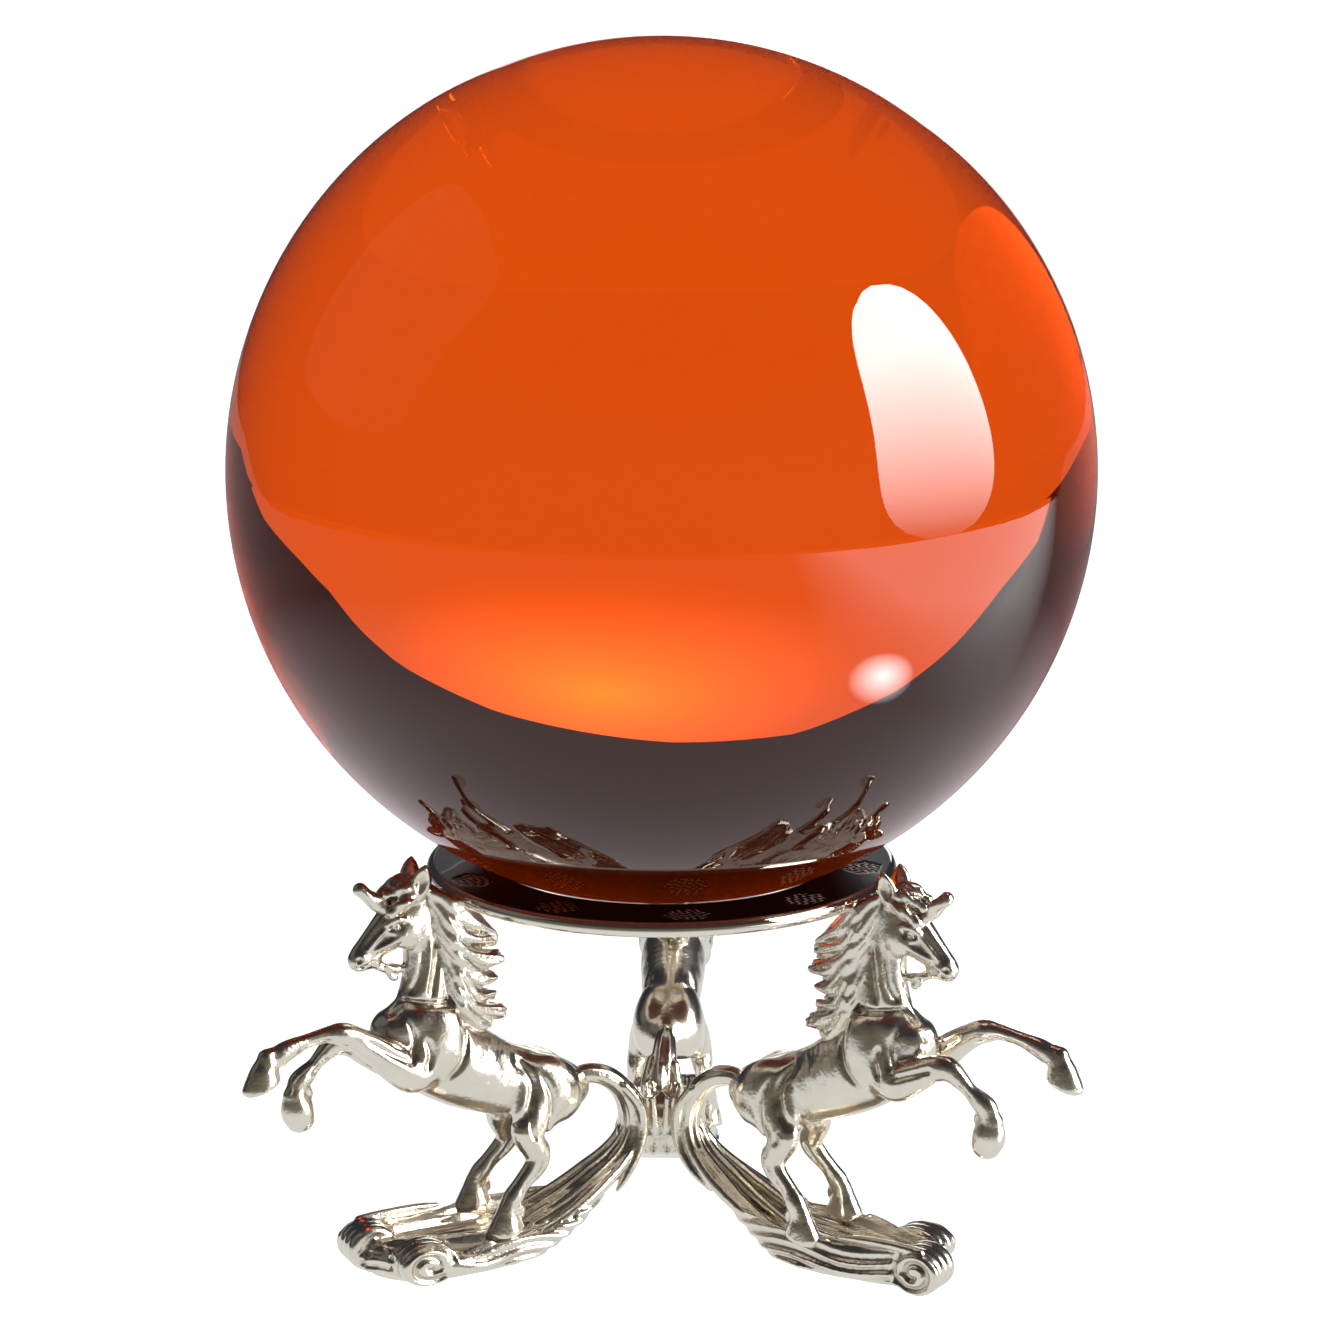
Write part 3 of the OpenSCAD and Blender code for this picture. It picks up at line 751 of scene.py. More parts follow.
class Value:
    """A shader socket that can be used in a Python expression."""

    def __init__(self, shader, socket):
        self.shader = shader
        self.socket = socket

    def maths(self, operation, *terms):
        return self.shader.maths(operation, *terms)

    def __add__(self, other):
        return self.maths("ADD", self, other)

    def __radd__(self, other):
        return self.maths("ADD", other, self)

    def __sub__(self, other):
        return self.maths("SUBTRACT", self, other)

    def __rsub__(self, other):
        return self.maths("SUBTRACT", other, self)

    def __mul__(self, other):
        return self.maths("MULTIPLY", self, other)

    def clamped(self):
        return self.maths("MAXIMUM", self.maths("MINIMUM", self, 1.0), 0.0)


class Shader:
    """A node tree that is built with add: a new material's, or the world's where one is given."""

    def __init__(self, name, tree=None):
        self.material = None
        if tree is None:
            self.material = bpy.data.materials.new(name)
            self.material.use_nodes = True
            tree = self.material.node_tree
        self.tree = tree
        self.tree.nodes.clear()
        output = "ShaderNodeOutputMaterial" if self.material else "ShaderNodeOutputWorld"
        self.output = self.tree.nodes.new(output)

    def add(self, kind, inputs=None, settings=None, out=0):
        """A node with its settings, then the values or links of its sockets; gives the output asked for."""
        node = self.tree.nodes.new("ShaderNode" + kind)
        for name, value in (settings or {}).items():
            if name == "stops":
                for element, (position, colour) in zip(node.color_ramp.elements, value):
                    element.position, element.color = position, colour
            else:
                setattr(node, name, value)
        for name, value in (inputs or {}).items():
            socket = node.inputs[name]
            if isinstance(value, Value):
                self.tree.links.new(value.socket, socket)
            else:
                socket.default_value = value
        return Value(self, node.outputs[out])

    def maths(self, operation, *terms):
        return self.add("Math", dict(enumerate(terms)), {"operation": operation})

    def mix(self, share, first, second):
        """A colour between two, as a Mix node with colour sockets."""
        return self.add("Mix", {0: share, 6: first, 7: second}, {"data_type": "RGBA"}, out=2)

    def axes(self, where):
        return [self.add("SeparateXYZ", {0: where}, out=k) for k in range(3)]

    def shade(self, name):
        """A value that the mesh carries at its points, held between 0 and 1."""
        return self.add("Attribute", None, {"attribute_name": name}, out=2).clamped()

    def noise(self, where, scale, detail):
        return self.add("TexNoise", {"Vector": where, "Scale": scale, "Detail": detail})

    def bump(self, height, strength):
        return self.add("Bump", {"Height": height, "Strength": strength, "Distance": BUMP_DEPTH})

    def scaled(self, colour, strength):
        """A colour whose brightness varies."""
        return self.add("VectorMath", {"Vector": colour, "Scale": strength}, {"operation": "SCALE"})

    def finish(self, kind, inputs, volume=None):
        """Adds the last shader, links it to the output, and gives the material."""
        self.tree.links.new(self.add(kind, inputs).socket, self.output.inputs["Surface"])
        if volume is not None:
            self.tree.links.new(volume.socket, self.output.inputs["Volume"])
        return self.material


# Height of a bump where its value is 1, in metres, and the output of Texture Coordinate that gives the
# place in the object's own axes
BUMP_DEPTH = 0.0001
OBJECT_PLACE = 3


def plated_metal(name, bright, shade, roughness, grain):
    """Polished plating over a cast surface: bright ridges, warmer and grainier in the hollows."""
    s = Shader(name)
    where = s.add("TexCoord", out=OBJECT_PLACE)
    hollow = s.shade("hollow_patina_and_painted_top")
    cloud = s.noise(where, 300.0, 3.0)
    speck = s.noise(where, 2400.0, 2.0)
    tarnish = (hollow * 0.9 + cloud * 0.35 - 0.12).clamped()
    colour = s.mix(tarnish, tuple(bright), tuple(shade))
    rough = roughness + hollow * 0.22 + cloud * 0.08
    normal = s.bump(speck * (hollow * 1.2 + 0.4) + cloud * 2.4, grain)
    plating = {"Base Color": colour, "Metallic": 1.0, "Roughness": rough, "Normal": normal}
    return s.finish("BsdfPrincipled", plating)


def amber_glass(tint, density):
    """Clear amber glass: a tint at the surface and absorption through its depth."""
    s = Shader("amber_glass")
    volume = s.add("VolumeAbsorption", {"Color": (1.0, 0.45, 0.12, 1.0), "Density": density})
    glass = {"Base Color": tint, "Roughness": 0.0, "IOR": 1.5, "Transmission Weight": 1.0}
    return s.finish("BsdfPrincipled", glass, volume)


# ---------------------------------------------------------------- settings


class CrystalBallGlass(bpy.types.PropertyGroup):
    tint: bpy.props.FloatVectorProperty(
        name="Tint", description="Colour of the light that crosses the ball", subtype="COLOR", size=4,
        default=(0.84, 0.098, 0.003, 1.0), min=0.0, max=1.0,
    )
    density: bpy.props.FloatProperty(
        name="Density", description="Absorption through the glass, per metre", default=2.0, min=0.0
    )
    fineness: bpy.props.IntProperty(
        name="Fineness", description="Subdivisions of the ball's surface", default=7, min=4, max=8
    )


class CrystalBallMetal(bpy.types.PropertyGroup):
    bright: bpy.props.FloatVectorProperty(
        name="Bright", description="Colour of the polished plating", subtype="COLOR", size=4,
        default=(0.81, 0.745, 0.635, 1.0), min=0.0, max=1.0,
    )
    shade: bpy.props.FloatVectorProperty(
        name="Shade", description="Colour of the plating in hollows", subtype="COLOR", size=4,
        default=(0.42, 0.35, 0.25, 1.0), min=0.0, max=1.0,
    )
    roughness: bpy.props.FloatProperty(
        name="Roughness", description="Roughness of the polished castings", default=0.16, min=0.0, max=1.0
    )
    pitch: bpy.props.FloatProperty(
        name="Grid", description="Grid pitch of the castings, in millimetres", default=0.22, min=0.15, max=1.0
    )


class CrystalBallStudio(bpy.types.PropertyGroup):
    lens: bpy.props.FloatProperty(name="Lens", description="Focal length", default=95.3, unit="CAMERA")
    distance: bpy.props.FloatProperty(
        name="Distance", description="From the camera to its aim", default=0.45, unit="LENGTH"
    )
    elevation: bpy.props.FloatProperty(
        name="Elevation", description="Camera above the horizon", default=math.radians(12.44), unit="ROTATION"
    )
    azimuth: bpy.props.FloatProperty(
        name="Azimuth", description="Camera round to the right", default=math.radians(3.2), unit="ROTATION"
    )
    aim_height: bpy.props.FloatProperty(
        name="Aim", description="Height that the camera points at", default=0.07596, unit="LENGTH"
    )


# ---------------------------------------------------------------- operators


# Strength of the castings' surface grain, and the grid pitch of feet and hub
CASTING_GRAIN = 0.5
FOOT_PITCH_SHARE = 0.9
HUB_PITCH = 0.2


def castings_material(context):
    """The castings' finish, made when it is first asked for."""
    found = bpy.data.materials.get("silver_plate")
    metal = context.scene.crystal_ball_metal
    return found or plated_metal("silver_plate", metal.bright, metal.shade, metal.roughness, CASTING_GRAIN)


def add_castings(context, stem, clay):
    """Three copies of one casting round the axis, each standing for its CAD node."""
    points, faces = clay.skin()
    hollow = hollow_patina_and_painted_top(points, faces)
    for where, degrees in TURNS.items():
        name = f"{stem}_{where}"
        piece = mesh_object(name + "_cast", turned(points, degrees), faces, {"hollow_patina_and_painted_top": hollow})
        piece.data.materials.append(castings_material(context))
        place(piece, "stand", "plated_casting", name)


class CRYSTALBALL_OT_ball(bpy.types.Operator):
    """Add the solid glass ball"""

    bl_idname = "crystal_ball.add_ball"
    bl_label = "Glass Ball"

    def execute(self, context):
        glass = context.scene.crystal_ball_glass
        bpy.ops.mesh.primitive_ico_sphere_add(
            subdivisions=glass.fineness, radius=BALL_RADIUS, location=BALL_CENTRE
        )
        ball = context.object
        ball.name = "glass_ball"
        ball.data.polygons.foreach_set("use_smooth", [True] * len(ball.data.polygons))
        ball.data.materials.append(amber_glass(tuple(glass.tint), glass.density))
        place(ball, "ball", "amber_glass", "crystal_ball")
        return {"FINISHED"}


class CRYSTALBALL_OT_unicorns(bpy.types.Operator):
    """Add the three unicorn castings"""

    bl_idname = "crystal_ball.add_unicorns"
    bl_label = "Unicorns"

    def execute(self, context):
        add_castings(context, "unicorn", unicorn_clay(context.scene.crystal_ball_metal.pitch))
        return {"FINISHED"}


class CRYSTALBALL_OT_feet(bpy.types.Operator):
    """Add the three tails with their wave-shaped feet"""

    bl_idname = "crystal_ball.add_feet"
    bl_label = "Tails and Feet"

    def execute(self, context):
        pitch = context.scene.crystal_ball_metal.pitch * FOOT_PITCH_SHARE
        add_castings(context, "tail_and_foot", tail_and_foot_clay(pitch))
        return {"FINISHED"}


class CRYSTALBALL_OT_hub(bpy.types.Operator):
    """Add the hub that joins the three tails"""

    bl_idname = "crystal_ball.add_hub"
    bl_label = "Hub"

    def execute(self, context):
        low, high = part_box("centre_hub")
        clay = hub_clay(HUB_PITCH, low.z / MM, high.z / MM)
        points, faces = clay.skin()
        piece = mesh_object("hub_boss", points, faces, {"hollow_patina_and_painted_top": hollow_patina_and_painted_top(points, faces)})
        piece.data.materials.append(castings_material(context))
        place(piece, "stand", "plated_casting", "centre_hub")
        return {"FINISHED"}


class CRYSTALBALL_OT_horns(bpy.types.Operator):
    """Add the spiral horns"""

    bl_idname = "crystal_ball.add_horns"
    bl_label = "Horns"

    def execute(self, context):
        for where, degrees in TURNS.items():
            points, faces = horn_surface()
            piece = mesh_object(f"spiral_horn_{where}", turned(points, degrees), faces)
            piece.data.materials.append(castings_material(context))
            place(piece, "stand", "plated_casting", f"horn_{where}")
        return {"FINISHED"}


# The horn: its root, its lean from upright in degrees, its length with the sunk root, and its radii
HORN_ROOT = [38.6, 0.0, 47.9]
HORN_LEAN = 49
HORN_SUNK, HORN_LENGTH, HORN_CAP = 0.9, 5.6, 0.75
HORN_THICK, HORN_TAPER = 1.18, 0.36
HORN_TURNS = 1.5


def horn_surface():
    """A blunt tapered horn with a spiral groove, from the forehead out and up."""
    root, lean = np.array(HORN_ROOT), math.radians(HORN_LEAN)
    along = np.array([math.sin(lean), 0, math.cos(lean)])
    side = np.array([0.0, 1.0, 0.0])
    up = np.cross(along, side)
    rows, sectors = 60, 40
    points = []
    for length in np.linspace(-HORN_SUNK, HORN_LENGTH, rows):
        share = max(length, 0) / HORN_LENGTH
        radius = HORN_THICK - HORN_TAPER * share
        cap = min(max((length - HORN_LENGTH + HORN_CAP) / HORN_CAP, 0), 1)
        radius *= math.sqrt(max(1 - cap**2, 0.0004))
        for a in np.arange(sectors) * 2 * math.pi / sectors:
            spiral = 0.09 * math.cos(2 * (a - HORN_TURNS * math.pi * share))
            ridge = spiral + 0.03 * math.cos(a * 3 + 9 * share)
            r = radius * (1 + ridge * (1 - cap))
            points.append(root + along * length + (side * math.cos(a) + up * math.sin(a)) * r)
    faces = []
    for i in range(rows - 1):
        for k in range(sectors):
            m = (k + 1) % sectors
            faces.append([i * sectors + k, i * sectors + m, (i + 1) * sectors + m, (i + 1) * sectors + k])
    faces += [list(range(sectors))[::-1], list(range((rows - 1) * sectors, rows * sectors))]
    return np.array(points), faces


class CRYSTALBALL_OT_ring(bpy.types.Operator):
    """Add the ring that the ball rests in, with its hammered patches"""

    bl_idname = "crystal_ball.add_ring"
    bl_label = "Cradle Ring"

    def execute(self, context):
        points, faces, painted_dark_top, worn = ring_surface()
        # The ring's painted dark top goes under the same attribute that carries the castings' hollow patina
        piece = mesh_object("hammered_ring", points, faces, {"hollow_patina_and_painted_top": painted_dark_top, "worn": worn})
        piece.data.materials.append(ring_plate(context.scene.crystal_ball_metal.bright))
        place(piece, "stand", "plated_ring", "cradle_ring")
        return {"FINISHED"}


# Painted shade on the ring's top face: a cool tint that mutes the ball's orange in the plating, and a
# near-black finish. Both stand in for the dark reflection of the ball's underside. WORN_BRIGHT is the colour
# of the bright specks in the punched patches.
PAINTED_TOP_TINT = (0.45, 0.70, 0.80, 1.0)
WORN_BRIGHT = (0.95, 0.94, 0.92, 1.0)
PAINTED_TOP_BLACK = (0.012, 0.013, 0.015, 1.0)


def ring_plate(bright):
    """Mirror plating with its top face painted dark, standing in for the shade of the ball's underside that
    it mirrors, with bright specks where the punched patches are worn.
    """
    s = Shader("ring_plate")
    where = s.add("TexCoord", out=OBJECT_PLACE)
    painted_dark_top, worn = s.shade("hollow_patina_and_painted_top"), s.shade("worn")
    normal = s.bump(s.noise(where, 300.0, 2.0), 0.15)
    colour = s.mix(worn, s.mix(painted_dark_top, tuple(bright), PAINTED_TOP_TINT), WORN_BRIGHT)
    plating = {"Base Color": colour, "Metallic": 1.0, "Roughness": 0.03 + worn * 0.45, "Normal": normal}
    painted_top_finish = {"Base Color": PAINTED_TOP_BLACK, "Roughness": 0.3, "Specular IOR Level": 0.03, "Normal": normal}
    plate, painted_top_shader = (s.add("BsdfPrincipled", inputs) for inputs in (plating, painted_top_finish))
    # Share of the painted shade: nearly all of it on the top face, less in the worn specks
    share = (painted_dark_top - worn * 0.75).clamped()
    return s.finish("MixShader", {0: share, 1: plate, 2: painted_top_shader})


# Punched patches of the ring: their number, the first one's bearing, the radius that they lie on, their
# half-sizes round and across the ring, and the depth of a punch mark
PATCH_COUNT = 10
PATCH_START = 10.0
PATCH_RADIUS = 26.4
PATCH_HALF = (2.9, 2.3)
PUNCH_DEPTH = 0.16
RING_SECTORS = 1100
RING_STEP = 0.14


def ring_surface():
    """The ring as a lathe profile round the axis, with patches of hammer marks on its top face."""
    bead = RING_THICK / 2
    seat, bore = 22.0, 20.0
    ball_z = BALL_CENTRE.z / MM
    gap_radius = BALL_RADIUS / MM + 0.1
    seat_line = [[r, ball_z - math.sqrt(gap_radius**2 - r**2)] for r in np.linspace(bore, seat, 5)]
    top = [[r, RING_TOP] for r in np.arange(seat + RING_STEP, RING_EDGE - bead, RING_STEP)]
    rim = [[RING_EDGE - bead + bead * math.sin(a), RING_TOP - bead + bead * math.cos(a)]
           for a in np.linspace(0, math.pi, 25)]
    under = [[r, RING_TOP - RING_THICK] for r in np.linspace(RING_EDGE - bead - 1, bore, 6)]
    profile = np.array(seat_line + top + rim + under)
    sectors = RING_SECTORS
    angle = np.arange(sectors) * 2 * math.pi / sectors
    r, a = profile[:, 0][None, :], angle[:, None]
    height = profile[:, 1][None, :] + 0 * a
    points = np.stack(np.broadcast_arrays(r * np.cos(a), r * np.sin(a), height), -1)
    mark = hammer_marks(points[..., 0], points[..., 1])
    first, last = len(seat_line) - 1, len(seat_line) + len(top) + 2
    mark[:, :first] = 0
    mark[:, last:] = 0
    points[..., 2] -= mark * PUNCH_DEPTH
    # Painted shade: the flat top face is marked to be painted dark, fully in the patches and slightly less on
    # the plain ring, standing in for the dark reflection of the ball's underside
    flat = np.zeros(mark.shape)
    flat[:, first:last] = 1
    painted_dark_top = flat * (0.90 + 0.10 * (mark > 0.02))
    worn = np.clip((mark - 0.62) / 0.2, 0, 1)
    n = len(profile)
    i, k = np.meshgrid(np.arange(sectors), np.arange(n), indexing="ij")
    i2, k2 = (i + 1) % sectors, (k + 1) % n
    faces = np.stack([i * n + k, i2 * n + k, i2 * n + k2, i * n + k2], -1).reshape(-1, 4)
    return points.reshape(-1, 3), faces, painted_dark_top.reshape(-1), worn.reshape(-1)


def hammer_marks(x, y):
    """0 on the plain ring, and up to 1 at the bottom of a punch mark inside a six-sided patch."""
    radius, angle = np.hypot(x, y), np.degrees(np.arctan2(y, x)) + 90
    step = 360 / PATCH_COUNT
    off = (angle - PATCH_START + step / 2) % step - step / 2
    u, v = np.radians(off) * PATCH_RADIUS, radius - PATCH_RADIUS
    round_share, across_share = np.abs(u) / PATCH_HALF[0], np.abs(v) / PATCH_HALF[1]
    six = np.maximum(across_share, round_share * 0.87 + across_share * 0.5)
    inside = np.clip((1.0 - six) / 0.06, 0, 1)
    rng = np.random.default_rng(11)
    wave = np.zeros(x.shape)
    for _ in range(9):
        a, f, p = rng.uniform(0, math.pi), rng.uniform(5.5, 11.0), rng.uniform(0, 6.3)
        wave += np.sin((x * math.cos(a) + y * math.sin(a)) * f + p)
    marks = 0.5 + 0.5 * np.tanh(wave / 1.6)
    return inside * (0.25 + 0.75 * marks)


class CRYSTALBALL_OT_studio(bpy.types.Operator):
    """Add the floor, the lights and the camera"""

    bl_idname = "crystal_ball.add_studio"
    bl_label = "Studio"

    def execute(self, context):
        floor(context)
        sky(context)
        lights(context)
        camera(context)
        context.scene.view_settings.view_transform = "Standard"
        return {"FINISHED"}


def stage_sheet(context, name, points, faces, material, camera_sees=False, mirrors_see=True):
    """A flat or curved stage sheet, in metres, that only some kinds of ray meet."""
    mesh = bpy.data.meshes.new(name)
    mesh.from_pydata([tuple(p) for p in points], [], [tuple(f) for f in faces])
    mesh.update()
    sheet = bpy.data.objects.new(name, mesh)
    context.scene.collection.objects.link(sheet)
    sheet.data.materials.append(material)
    sheet.visible_camera = camera_sees
    sheet.visible_glossy = mirrors_see
    sheet.visible_transmission = mirrors_see
    sheet.visible_diffuse = False
    sheet.visible_shadow = False
    return sheet


def glow(name, colour, strength, fade=None):
    """Even light, or light that fades along the sheet's own height where fade gives its ramp."""
    s = Shader(name)
    if fade is not None:
        height = s.axes(s.add("TexCoord"))[2]
        colour = s.add("ValToRGB", {"Fac": height}, {"stops": fade})
    return s.finish("Emission", {"Color": colour, "Strength": strength})


# Reach of the bright table round the ball, as [degrees to the right of straight behind, metres]
TABLE_REACH = [
    [-180, 0.5], [-120, 0.55], [-75, 0.62], [-66, 0.66], [-58, 0.8], [-50, 1.2], [-46, 1.6],
    [50, 1.6], [55, 0.76], [63, 0.70], [75, 0.64], [120, 0.55], [180, 0.5],
]
TABLE_FAR = 6.5
# Between one sheet of the table and the next, in metres
HAIR = 0.0001
# Top of the bright wall behind, as [degrees to the right of straight behind, metres above the table]
WALL_TOP = [
    [-49, -0.01], [-46, 0.10], [-38, 0.20], [-31, 0.33], [-25, 0.41], [-15, 0.48], [-4, 0.47],
    [11, 0.42], [21, 0.35], [26, 0.28], [30, 0.20], [36, 0.14], [46, 0.07], [51, 0.0],
]
WALL_AWAY = 1.6


def table_outline(count=96):
    """Points of the bright table's edge, at even bearings round the axis."""
    reach = np.array(TABLE_REACH, float)
    for k in range(count):
        a = 2 * math.pi * k / count - math.pi
        far = np.interp(math.degrees(a), reach[:, 0], reach[:, 1])
        yield far * math.sin(a), far * math.cos(a)


def floor(context):
    """A pale table. Camera, glass and mirrors each see a sheet of their own, a hair apart."""
    ring = list(table_outline())
    disc = [range(len(ring))]

    def level(steps):
        return [(x, y, steps * HAIR) for x, y in ring]

    s = Shader("pale_floor")
    cloud = s.add("TexNoise", {"Scale": 3.0, "Detail": 2.0})
    colour = s.mix(cloud, (0.80, 0.80, 0.80, 1), (0.83, 0.83, 0.83, 1))
    paint = {"Base Color": colour, "Roughness": 0.95, "Specular IOR Level": 0.0,
             "Emission Color": (1, 1, 1, 1), "Emission Strength": 0.95}
    pale = s.finish("BsdfPrincipled", paint)
    near = stage_sheet(context, "table", level(-3), disc, pale, camera_sees=True, mirrors_see=False)
    near.visible_diffuse = True
    lit = glow("lit_table", (1, 1, 1, 1), 0.92)
    through = stage_sheet(context, "table_through_glass", level(-2), disc, lit)
    through.visible_glossy = False
    mirrored_table = stage_sheet(context, "table_in_mirrors", level(-1), disc, mirror_light())
    mirrored_table.visible_transmission = False
    far = [(TABLE_FAR * x / math.hypot(x, y), TABLE_FAR * y / math.hypot(x, y), -4 * HAIR) for x, y in ring]
    count = len(ring)
    band = [[k, (k + 1) % count, (k + 1) % count + count, k + count] for k in range(count)]
    white = glow("white_surround", (1, 1, 1, 1), 1.1)
    stage_sheet(context, "far_floor", level(-4) + far, band, white, camera_sees=True, mirrors_see=False)
    bpy.ops.mesh.primitive_uv_sphere_add(segments=48, ring_count=24, radius=8.0)
    dome = context.object
    dome.name = "surround"
    dome.data.materials.append(white)
    for kind in ("diffuse", "glossy", "transmission", "shadow", "volume_scatter"):
        setattr(dome, f"visible_{kind}", False)
    wall(context)


# Light that the table sends into mirrors: near the stand, further off, and on its bright right side
MIRROR_NEAR, MIRROR_FAR, MIRROR_BRIGHT = 0.86, 0.22, 2.4
GLINT_PLACE, GLINT_RADIUS, GLINT_STRENGTH = (0.126, -0.070, 0.0), 0.026, 20.0
MIRROR_COLOUR = (0.93, 0.97, 1.01)


def mirror_light():
    """A table that dims away from the stand, except for a bright part on the right with a small glint."""
    s = Shader("mirrored_table")
    where = s.add("TexCoord", out=OBJECT_PLACE)
    x, y, _ = s.axes(where)
    away = s.add("VectorMath", {0: where}, {"operation": "LENGTH"}, out=1)
    near = (1.0 - (away - 0.10) * 6.0).clamped()
    off = s.maths("ABSOLUTE", y) * 4.0 + y.clamped() * 6.0
    right = (x * 7.0 - off - 0.28).clamped() * ((away - 0.12) * 7.0).clamped()
    apart = s.add("VectorMath", {0: where, 1: GLINT_PLACE}, {"operation": "DISTANCE"}, out=1)
    glint = (1.0 - apart * (1 / GLINT_RADIUS)).clamped() * GLINT_STRENGTH
    strength = MIRROR_FAR + near * (MIRROR_NEAR - MIRROR_FAR) + right * (MIRROR_BRIGHT - MIRROR_FAR) + glint
    return s.finish("Emission", {"Color": s.scaled(MIRROR_COLOUR, strength)})


# Warm bright spot on the wall: its place across and up, its half-sizes as divisors, and its extra light
SPOT_PLACE, SPOT_SIZE, SPOT_EXTRA = (0.04, 0.32), (1.5, 3.2), 2.5
WALL_COLOUR = (1, 0.99, 0.98)


def wall_light():
    """Even light with a bright spot high up behind the ball."""
    s = Shader("wall_light")
    x, _, z = s.axes(s.add("TexCoord", out=OBJECT_PLACE))
    across, up = (x - SPOT_PLACE[0]) * SPOT_SIZE[0], (z - SPOT_PLACE[1]) * SPOT_SIZE[1]
    spot = (1.0 - s.maths("SQRT", across * across + up * up)).clamped()
    return s.finish("Emission", {"Color": s.scaled(WALL_COLOUR, 1.0 + spot * spot * SPOT_EXTRA)})


def wall(context):
    """The bright wall behind, rounded off at its top corners; mirrors meet only its middle."""
    top = np.array(WALL_TOP, float)
    for name, left, right in (("back_wall", top[0, 0], top[-1, 0]), ("back_wall_in_mirrors", -12.0, 12.0)):
        points, faces = [], []
        for degrees in np.linspace(left, right, 59):
            a = math.radians(degrees)
            x, y = WALL_AWAY * math.sin(a), WALL_AWAY * math.cos(a)
            points += [(x, y, -0.01), (x, y, np.interp(degrees, top[:, 0], top[:, 1]))]
        for k in range(len(points) // 2 - 1):
            faces.append([2 * k, 2 * k + 2, 2 * k + 3, 2 * k + 1])
        sheet = stage_sheet(context, name, points, faces, wall_light())
        sheet.visible_glossy = name.endswith("mirrors")
        sheet.visible_transmission = not sheet.visible_glossy


# What the room in front sends into mirrors, and the sine of the elevation where that ends
ROOM_GLOW = (0.20, 0.18, 0.13, 1)
ROOM_DARK = (0.030, 0.032, 0.040, 1)
ROOM_TOP = 0.55


def sky(context):
    """A room that is dark above and behind, and half bright low down in front."""
    world = bpy.data.worlds.new("dark_room")
    context.scene.world = world
    world.use_nodes = True
    s = Shader("room", world.node_tree)
    x, y, z = s.axes(s.add("TexCoord"))
    ahead = (y * -1.6 + 0.1).clamped()
    low = ((ROOM_TOP - z) * 2.2).clamped()
    share = ahead * low * (0.8 + x * 0.12)
    s.finish("Background", {"Color": s.mix(share, ROOM_DARK, ROOM_GLOW)})


def panel(context, name, azimuth, elevation, distance, size, material, corners=4, flare=0.0):
    """A light panel seen in mirrors and glass, at a bearing from the ball's centre.

    It is squarer as corners grows, and wider towards its foot by the share that flare gives.
    """
    a, e = math.radians(azimuth), math.radians(elevation)
    out = Vector((math.sin(a) * math.cos(e), math.cos(a) * math.cos(e), math.sin(e)))
    centre = BALL_CENTRE + out * distance
    level = Vector((math.cos(a), -math.sin(a), 0))
    across = level * size[0] / 2
    up = out.cross(level).normalized() * size[1] / 2
    if up.z < 0:
        up = -up
    rows = 24
    points, faces = [], []
    for k in range(rows + 1):
        share = 2 * k / rows - 1
        narrow = math.sqrt(max(1 - abs(share) ** corners, 0.02)) * (1 + flare * (0.5 - share / 2))
        points += [centre + up * share - across * narrow, centre + up * share + across * narrow]
        if k:
            faces.append([2 * k - 2, 2 * k - 1, 2 * k + 1, 2 * k])
    stage_sheet(context, name, points, faces, material)


def lights(context):
    """A soft fill from the ceiling, a softbox on the right and a dim window on the left."""
    lamp = bpy.data.lights.new("ceiling_fill", "AREA")
    lamp.shape, lamp.size, lamp.energy = "DISK", 2.4, 9.0
    fill = bpy.data.objects.new("ceiling_fill", lamp)
    fill.location = (0, 0, 1.4)
    fill.visible_glossy = fill.visible_transmission = False
    context.scene.collection.objects.link(fill)
    fade = ((0.0, (0.03, 0.022, 0.022, 1)), (0.75, (1, 1, 1, 1)))
    softbox = glow("softbox", None, 22.0, fade)
    window = glow("window", (1.0, 0.97, 0.93, 1), 0.14)
    panel(context, "right_softbox", 103, 16, 0.9, (0.44, 0.9), softbox, 4, 0.6)
    panel(context, "left_window", -92, 32, 1.1, (0.9, 0.95), window, 8)


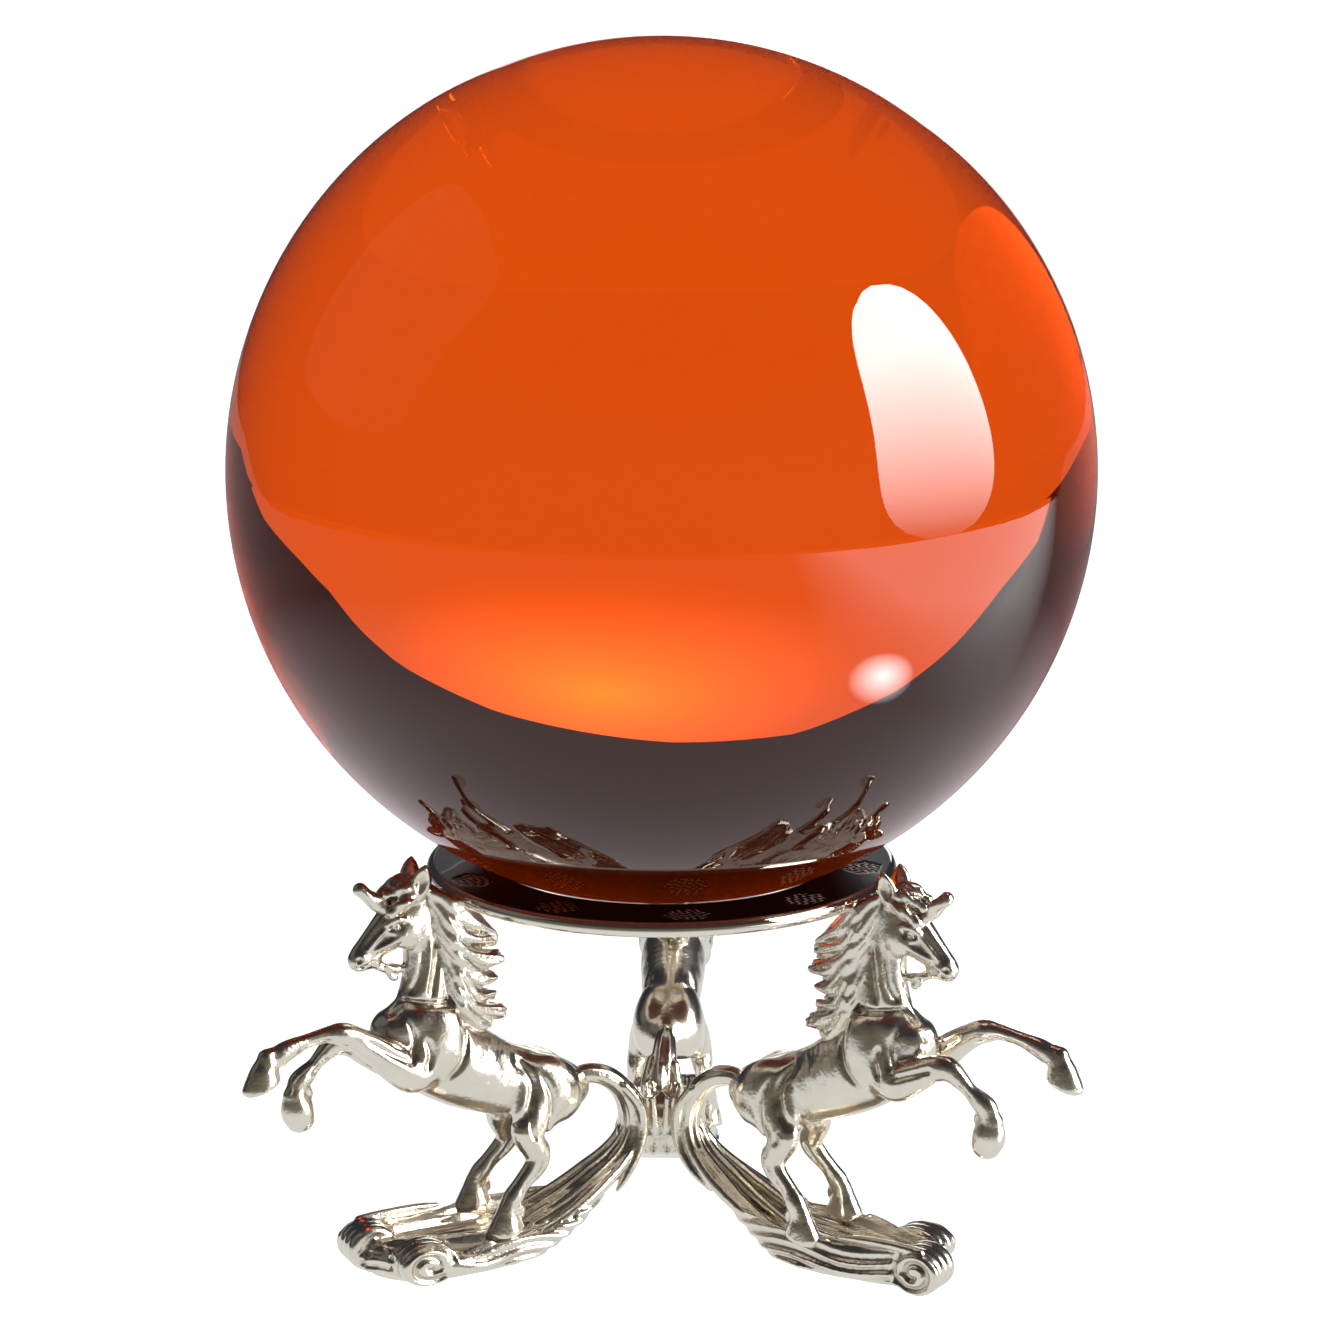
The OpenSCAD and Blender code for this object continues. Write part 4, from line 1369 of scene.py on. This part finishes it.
def camera(context):
    """The camera, placed by its settings."""
    studio = context.scene.crystal_ball_studio
    aim = Vector((0, 0, studio.aim_height))
    e, a = studio.elevation, studio.azimuth
    back = Vector((math.cos(e) * math.sin(a), -math.cos(e) * math.cos(a), math.sin(e)))
    lens = bpy.data.cameras.new("camera")
    lens.sensor_width, lens.lens = 36.0, studio.lens
    lens.clip_start, lens.clip_end = 0.01, 50.0
    view = bpy.data.objects.new("camera", lens)
    view.location = aim + back * studio.distance
    view.rotation_euler = (-back).to_track_quat("-Z", "Y").to_euler()
    context.scene.collection.objects.link(view)
    context.scene.camera = view


# ---------------------------------------------------------------- panel and registration

STEPS = ("add_ball", "add_ring", "add_unicorns", "add_horns", "add_feet", "add_hub", "add_studio")


class CRYSTALBALL_PT_panel(bpy.types.Panel):
    """Crystal ball builder"""

    bl_label = "Crystal Ball"
    bl_idname = "CRYSTALBALL_PT_panel"
    bl_space_type = "VIEW_3D"
    bl_region_type = "UI"
    bl_category = "Crystal Ball"

    def draw(self, context):
        for group in ("glass", "metal", "studio"):
            settings = getattr(context.scene, f"crystal_ball_{group}")
            box = self.layout.box()
            for name in settings.bl_rna.properties.keys():
                if name not in ("rna_type", "name"):
                    box.prop(settings, name)
        for step in STEPS:
            self.layout.operator(f"crystal_ball.{step}")


GROUP_TYPES = {"glass": CrystalBallGlass, "metal": CrystalBallMetal, "studio": CrystalBallStudio}
CLASSES = (
    CrystalBallGlass,
    CrystalBallMetal,
    CrystalBallStudio,
    CRYSTALBALL_OT_ball,
    CRYSTALBALL_OT_ring,
    CRYSTALBALL_OT_unicorns,
    CRYSTALBALL_OT_horns,
    CRYSTALBALL_OT_feet,
    CRYSTALBALL_OT_hub,
    CRYSTALBALL_OT_studio,
    CRYSTALBALL_PT_panel,
)


def register():
    for cls in CLASSES:
        bpy.utils.register_class(cls)
    for name, cls in GROUP_TYPES.items():
        setattr(bpy.types.Scene, f"crystal_ball_{name}", bpy.props.PointerProperty(type=cls))


def unregister():
    for name in GROUP_TYPES:
        delattr(bpy.types.Scene, f"crystal_ball_{name}")
    for cls in reversed(CLASSES):
        bpy.utils.unregister_class(cls)


def main():
    register()
    for step in STEPS:
        getattr(bpy.ops.crystal_ball, step)()


if __name__ == "__main__":
    main()
